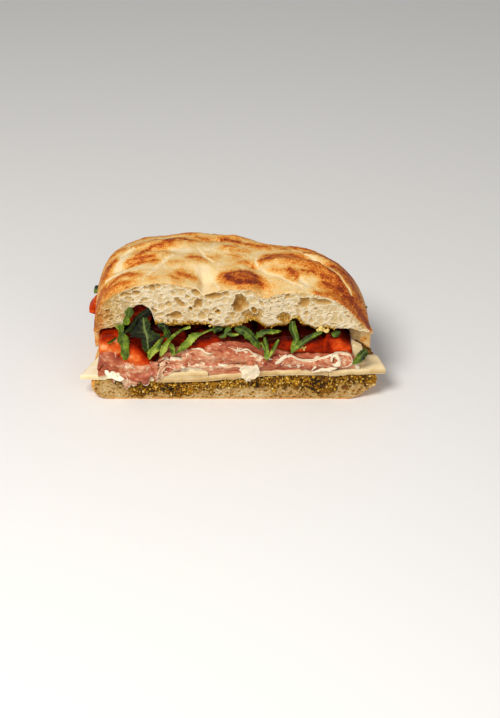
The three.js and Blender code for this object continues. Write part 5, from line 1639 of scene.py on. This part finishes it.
# Each leaf: node, points of its spine, half widths, tone, rib strength
LEAVES = [
    ("rocket_dark_fold", [(-44.4, -38, 56), (-48, -38.6, 53.6), (-52, -39.4, 49.6), (-57, -41, 44)],
     outlined([2, 4, 3.6, 2.4, 0.6], [1.2, 2.2, 2, 1.2, 0.5]), 0.02, 0.15),
    ("rocket_dark_stem", [
        (-44.6, -40, 58.2), (-48.9, -41, 55.6), (-52.3, -41.6, 51.1), (-55.2, -42, 47.4),
        (-58.5, -42.4, 44.2),
    ], outlined([0.7, 0.9, 0.9, 0.8]), 0.1, 0.2),
    ("rocket_curl_left", [(-54.7, -41, 59.4), (-55.4, -41.4, 55.8), (-56.7, -41.6, 52), (-56.7, -42, 48.9)],
     outlined([1.6, 2.6, 1.4, 2.2, 0.6], [1, 2.6, 1.2, 2, 0.6]), 0.66, 0.4),
    ("rocket_hanging_left", [(-60.3, -42, 49.5), (-59.5, -42.4, 43.9), (-58.5, -43, 37), (-58.3, -44, 28.1)],
     outlined([2.4, 1.4, 3.4, 2.6, 2.4, 0.8], [3, 1.6, 3.6, 2.2, 2.4, 1]), 0.62, 0.35),
    ("rocket_big_dark", [(-48, -40, 52.6), (-47.4, -41, 47), (-46.3, -42, 40.8), (-45.8, -43, 31.3)],
     outlined([2.4, 3.6, 3.4, 8.4, 3.6, 3, 0.4], [2, 5, 9.4, 4, 3.4, 2.6, 0.4]), 0.16, 0.6),
    ("rocket_dark_right", [(-40.2, -40, 48.6), (-37.1, -40.6, 47), (-35.6, -41, 43.9), (-34.1, -42, 40.2)],
     outlined([1, 2.2, 1.8, 2, 0.5]), 0.3, 0.3),
    ("rocket_stem_left", [(-34.2, -42, 45.8), (-38.7, -43, 40.1), (-42.1, -44, 35.1), (-45.5, -45, 29.3)],
     outlined([0.7, 0.7, 1.2, 2.4, 1.4, 0.4], [0.7, 0.8, 1.4, 1.8, 2.8, 0.4]), 0.74, 0.5),
    ("rocket_long_stem", [
        (-22.9, -41, 47.4), (-28.4, -42, 45.4), (-33.3, -43, 41.4), (-37.2, -44, 36.3), (-39.3, -45, 31.2),
    ], outlined([0.8, 0.8, 0.8, 1.1, 2.4, 0.4], [0.8, 0.8, 0.8, 1.1, 1.6, 0.4]), 0.84, 0.6),
    ("rocket_hook", [(-34.4, -43, 38.9), (-32.9, -44, 36.3), (-32.5, -44, 33.2), (-33.4, -44, 31)],
     outlined([0.7, 1.4, 1.3, 0.4]), 0.9, 0.4),
    ("rocket_slim_leaf", [
        (-10.2, -41, 46.4), (-15, -42, 44.8), (-19.9, -43, 43), (-24.2, -44, 39.8), (-28.6, -45, 35.5),
        (-32.5, -45, 31.9),
    ], outlined([0.7, 0.7, 1.1, 1.8, 2.5, 2.1, 1.2, 0.3], [0.7, 0.7, 0.9, 2.6, 1.6, 1.8, 0.7, 0.3]),
     0.76, 0.5),
    ("rocket_dark_centre", [(-11, -41, 44.6), (-8.4, -41.4, 46.4), (-5.6, -41.4, 46.6)],
     outlined([0.8, 1.8, 1.7, 0.5]), 0.36, 0.3),
    ("rocket_lobed_centre",
     [(1, -41.4, 47), (5.3, -42, 45.6), (9, -43.4, 43), (12.2, -44.4, 39.5), (14.4, -45, 35.7)],
     outlined([1, 2.2, 2.8, 2.8, 2.5, 2, 1.2, 0.2], [1.4, 2.6, 2.2, 3, 2.1, 2.3, 1.3, 0.2]), 0.56, 0.3),
    ("rocket_small_leaf", [
        (11.7, -43, 42.6), (15.4, -43, 44.8), (19.7, -43, 45.6), (23.4, -42.4, 45.2), (25.8, -42, 45.4),
    ], outlined([1.2, 1.5, 1.8, 1.5, 0.9, 0.2], [0.8, 2, 1.2, 1.7, 0.8, 0.2]), 0.66, 0.4),
    ("rocket_tip_right", [(57.6, -41.6, 44.6), (55.4, -41.8, 43.6), (52.6, -41.8, 43.8)],
     outlined([0.5, 1.8, 1.7, 0.5]), 0.6, 0.2),
    ("rocket_thin_stem", [(-62.8, -43, 42), (-64.8, -43, 40.1), (-67.3, -43, 38.2)],
     outlined([0.6, 0.6]), 0.6, 0.3),
    ("rocket_side_left", [(-68, 10, 43.4), (-73, 9, 43.6), (-76.6, 8, 42.6), (-79, 7, 40.4)],
     outlined([1, 3, 2.4, 2.8, 0.6]), 0.3, 0.4),
    ("rocket_side_right",
     [(56.8, -0.6, 34.4), (62, 5.2, 35), (67.6, 6.4, 34.9), (72, 5.6, 34), (75.4, 5, 31.8)],
     outlined([0.9, 0.9]), 0.5, 0.2),
    ("rocket_right", [(72, -42, 33.2), (69.9, -43, 31.4), (67.3, -44, 28.5), (64.8, -44, 25.6)],
     outlined([2.4, 2.6, 2.3, 1.8, 0.7]), 0.52, 0.5),
]
FACING_UP = ("rocket_side_left", "rocket_side_right")
# Leaves of several arms: node, tone, and the spine and half widths of each arm
SPREAD_LEAVES = [
    ("rocket_curl_centre", 0.54, [
        ([(-1.1, -42, 46.6), (-3.3, -43, 45.6), (-4.9, -44, 43.8), (-7.6, -44, 42.6)],
         outlined([1.2, 1.8, 1.3, 1.6, 0.3], [1.2, 2, 1, 1.2, 0.3])),
        ([(-4, -43.4, 45.4), (-0.6, -44, 43.9), (3.1, -44, 44.3)], outlined([0.7, 1.2, 1, 0.3])),
    ]),
    ("rocket_fork_small", 0.76, [
        ([(16.8, -43, 42), (17.6, -44, 37.9), (17.9, -45, 33.5), (17.9, -45, 28.4)],
         outlined([0.8, 1.3, 1.3, 1.5, 0.6])),
        ([(24.5, -43, 40.4), (22.4, -44, 36.6), (20.3, -45, 32.8), (18.2, -45, 29.6)],
         outlined([0.5, 1.1, 1, 0.9, 0.6])),
        ([(13.8, -43.4, 40.1), (15.4, -44, 38.2), (17.4, -45, 34.6)], outlined([0.4, 0.8, 0.6])),
    ]),
    ("rocket_fork_large", 0.66, [
        ([(31.6, -41.4, 51), (31.9, -42.6, 47), (33.7, -43.8, 41.7), (32.6, -44.4, 36.6),
          (31.4, -44.6, 32.8)],
         outlined([1.4, 2.1, 1.9, 1.8, 1.8, 0.6])),
        ([(47.5, -42, 44.4), (42.2, -43, 42.6), (38, -44, 40), (34.8, -44.6, 37.2), (32, -44.6, 33.6)],
         outlined([0.8, 1.3, 1.6, 1.7, 1.5, 0.6])),
    ]),
]
LEAF_THICKNESS = 0.45
TOOTH_LENGTH = 1.9
STEM_THICKNESS = 1.1


def leaf_marks(shape, tone, rib, seed):
    c, s = shape.marks["c"], shape.marks["s"]
    x, y, z = shape.vertices.T
    middle = np.exp(-((c / 0.1) ** 2)) * smooth(1, 0.8, s)
    veins = np.exp(-((np.sin(22 * s + 5 * np.abs(c)) / 0.35) ** 2)) * smooth(0.9, 0.2, np.abs(c)) * 0.3
    shape.marks["rib"] = rib * np.maximum(middle, veins)
    # One half of the leaf is painted darker and the other lighter, as shade and light on a fold, and the tip
    # is painted lighter where it comes forward into the light; the rough noise is the leaf's own
    half = 0.12 * np.sin(5 * s + seed) * smooth(0.1, 0.4, np.abs(c)) * np.sign(c)
    shape.marks["tone"] = tone + half - 0.1 + 0.2 * smooth(0.3, 1, s) + 0.3 * rough(x, y, z, 3.4, 227 + seed)


def leaf_wave(s, c):
    """How far a leaf stands forward across its width: it curls at its edges and sinks along its rib"""
    return 0.5 * np.sin(3 * math.pi * s) * c + 0.55 * c * c - 0.3 * np.exp(-((c / 0.15) ** 2))


standing = [heel_tree, pesto_tree, *cheese_trees, *ham_trees, *tomato_trees, lid_tree, fat_strip.tree()]
leaf_trees = []
for n, (name, spine, widths, tone, rib) in enumerate(LEAVES):
    facing = UP if name in FACING_UP else FORWARD
    length = length_of(spine)
    shape = ribbon(
        spine, serrated(widths, teeth=length / TOOTH_LENGTH, deep=0.2, seed=n), facing, LEAF_THICKNESS,
        stations=max(int(4 * length), 24), across=12, wave=leaf_wave, sweep=0.2,
        against=() if name in FACING_UP else standing + leaf_trees,
    )
    leaf_marks(shape, tone, rib, n)
    leaf_trees.append(shape.tree())
    add_piece(name + "_leaf", shape, ROCKET, [name])
for n, (name, tone, arms) in enumerate(SPREAD_LEAVES):
    made = []
    for spine, widths in arms:
        arm = ribbon(
            spine, serrated(widths, teeth=5, deep=0.1, seed=n), FORWARD, STEM_THICKNESS,
            stations=44, across=10,
            wave=lambda s, c: 0.35 * (1 - c * c), against=standing + leaf_trees,
        )
        leaf_marks(arm, tone, rib=0.6, seed=20 + n)
        made.append(arm)
    shape = joined(made)
    leaf_trees.append(shape.tree())
    add_piece(name + "_leaf", shape, ROCKET, [name])

# Torn bits of soft cheese in front of the ham


def torn_curd(spine, half_width, seed):
    """A torn white strip that lies on the ham"""
    shape = ribbon(
        spine, outlined([0.5 * half_width, 1.3 * half_width, half_width, 1.4 * half_width, 0.4 * half_width]),
        facing=(0, -1, 0.9), thickness=1.3, stations=36, across=10,
        wave=lambda s, c: 0.5 * rough(10 * s, 2 * c, seed, 2, 231),
        against=cheese_trees + ham_trees, gap=-0.2,
    )
    x, y, z = shape.vertices.T
    shape.vertices[:, 0] += 0.6 * rough(x, seed, z, 1.8, 233)
    shape.vertices[:, 2] += 0.7 * rough(x, seed, z, 1.6, 235)
    shape.marks["edge"] = 0.1 + 0.15 * rough(x, y, z, 2, 237)
    return shape


curds = joined([
    torn_curd([(-70, -43.2, 20), (-66.6, -43.6, 18.4), (-63, -43.8, 17.2), (-59.4, -43.8, 16.8)], 1.2, 1),
    torn_curd([(-66.4, -43.6, 20.6), (-63.8, -43.8, 19.4), (-61.6, -43.8, 18.8)], 0.7, 5),
])
add_piece("cheese_curds", curds, CHEESE, ())

# Stage, light and camera

# The stage is laid out in metres
FLOOR_SIZE = 6
LIT_PLACE = Vector((0, 0, 0.03))
PHOTO_DISTANCE = 0.8394
PHOTO_ELEVATION = math.radians(32.35)
LENS = 72.95
LOOK_AT = Vector((0.009, 0.0013, 0))


def add_floor():
    bpy.ops.mesh.primitive_plane_add(size=FLOOR_SIZE, location=(0, 0, 0))
    floor = bpy.context.object
    floor.name = "floor"
    paint = Paint("floor", Roughness=0.7)
    stops = [(0, (0.86, 0.85, 0.84, 1)), (1, (0.89, 0.88, 0.87, 1))]
    floor.data.materials.append(paint.finish(paint.ramp(paint.noise(400, 1), stops)))


def add_area(name, place, size, power, colour):
    light = bpy.data.lights.new(name, "AREA")
    light.shape = "DISK"
    light.size = size
    light.energy = power
    light.color = colour
    lamp = bpy.data.objects.new(name, light)
    lamp.location = place
    lamp.rotation_euler = (LIT_PLACE - Vector(place)).to_track_quat("-Z", "Y").to_euler()
    bpy.context.scene.collection.objects.link(lamp)


def add_camera():
    camera = bpy.data.cameras.new("camera")
    camera.lens = LENS
    camera.sensor_width = 36
    camera.clip_start = 0.01
    seat = bpy.data.objects.new("camera", camera)
    back = Vector((0, -math.cos(PHOTO_ELEVATION), math.sin(PHOTO_ELEVATION)))
    seat.location = LOOK_AT + PHOTO_DISTANCE * back
    seat.rotation_euler = (-back).to_track_quat("-Z", "Y").to_euler()
    bpy.context.scene.collection.objects.link(seat)
    bpy.context.scene.camera = seat


def add_world():
    world = bpy.data.worlds.new("studio")
    world.use_nodes = True
    background = world.node_tree.nodes["Background"]
    background.inputs["Color"].default_value = (1, 1, 1, 1)
    background.inputs["Strength"].default_value = 0.3
    bpy.context.scene.world = world


add_floor()
add_world()
add_area("key", place=(-0.3, -0.62, 0.86), size=0.4, power=9.6, colour=(1, 0.97, 0.92))
add_area("front", place=(0.5, -0.95, 0.6), size=0.6, power=1.6, colour=(1, 0.98, 0.95))
add_camera()
bpy.context.scene.view_settings.view_transform = "Standard"
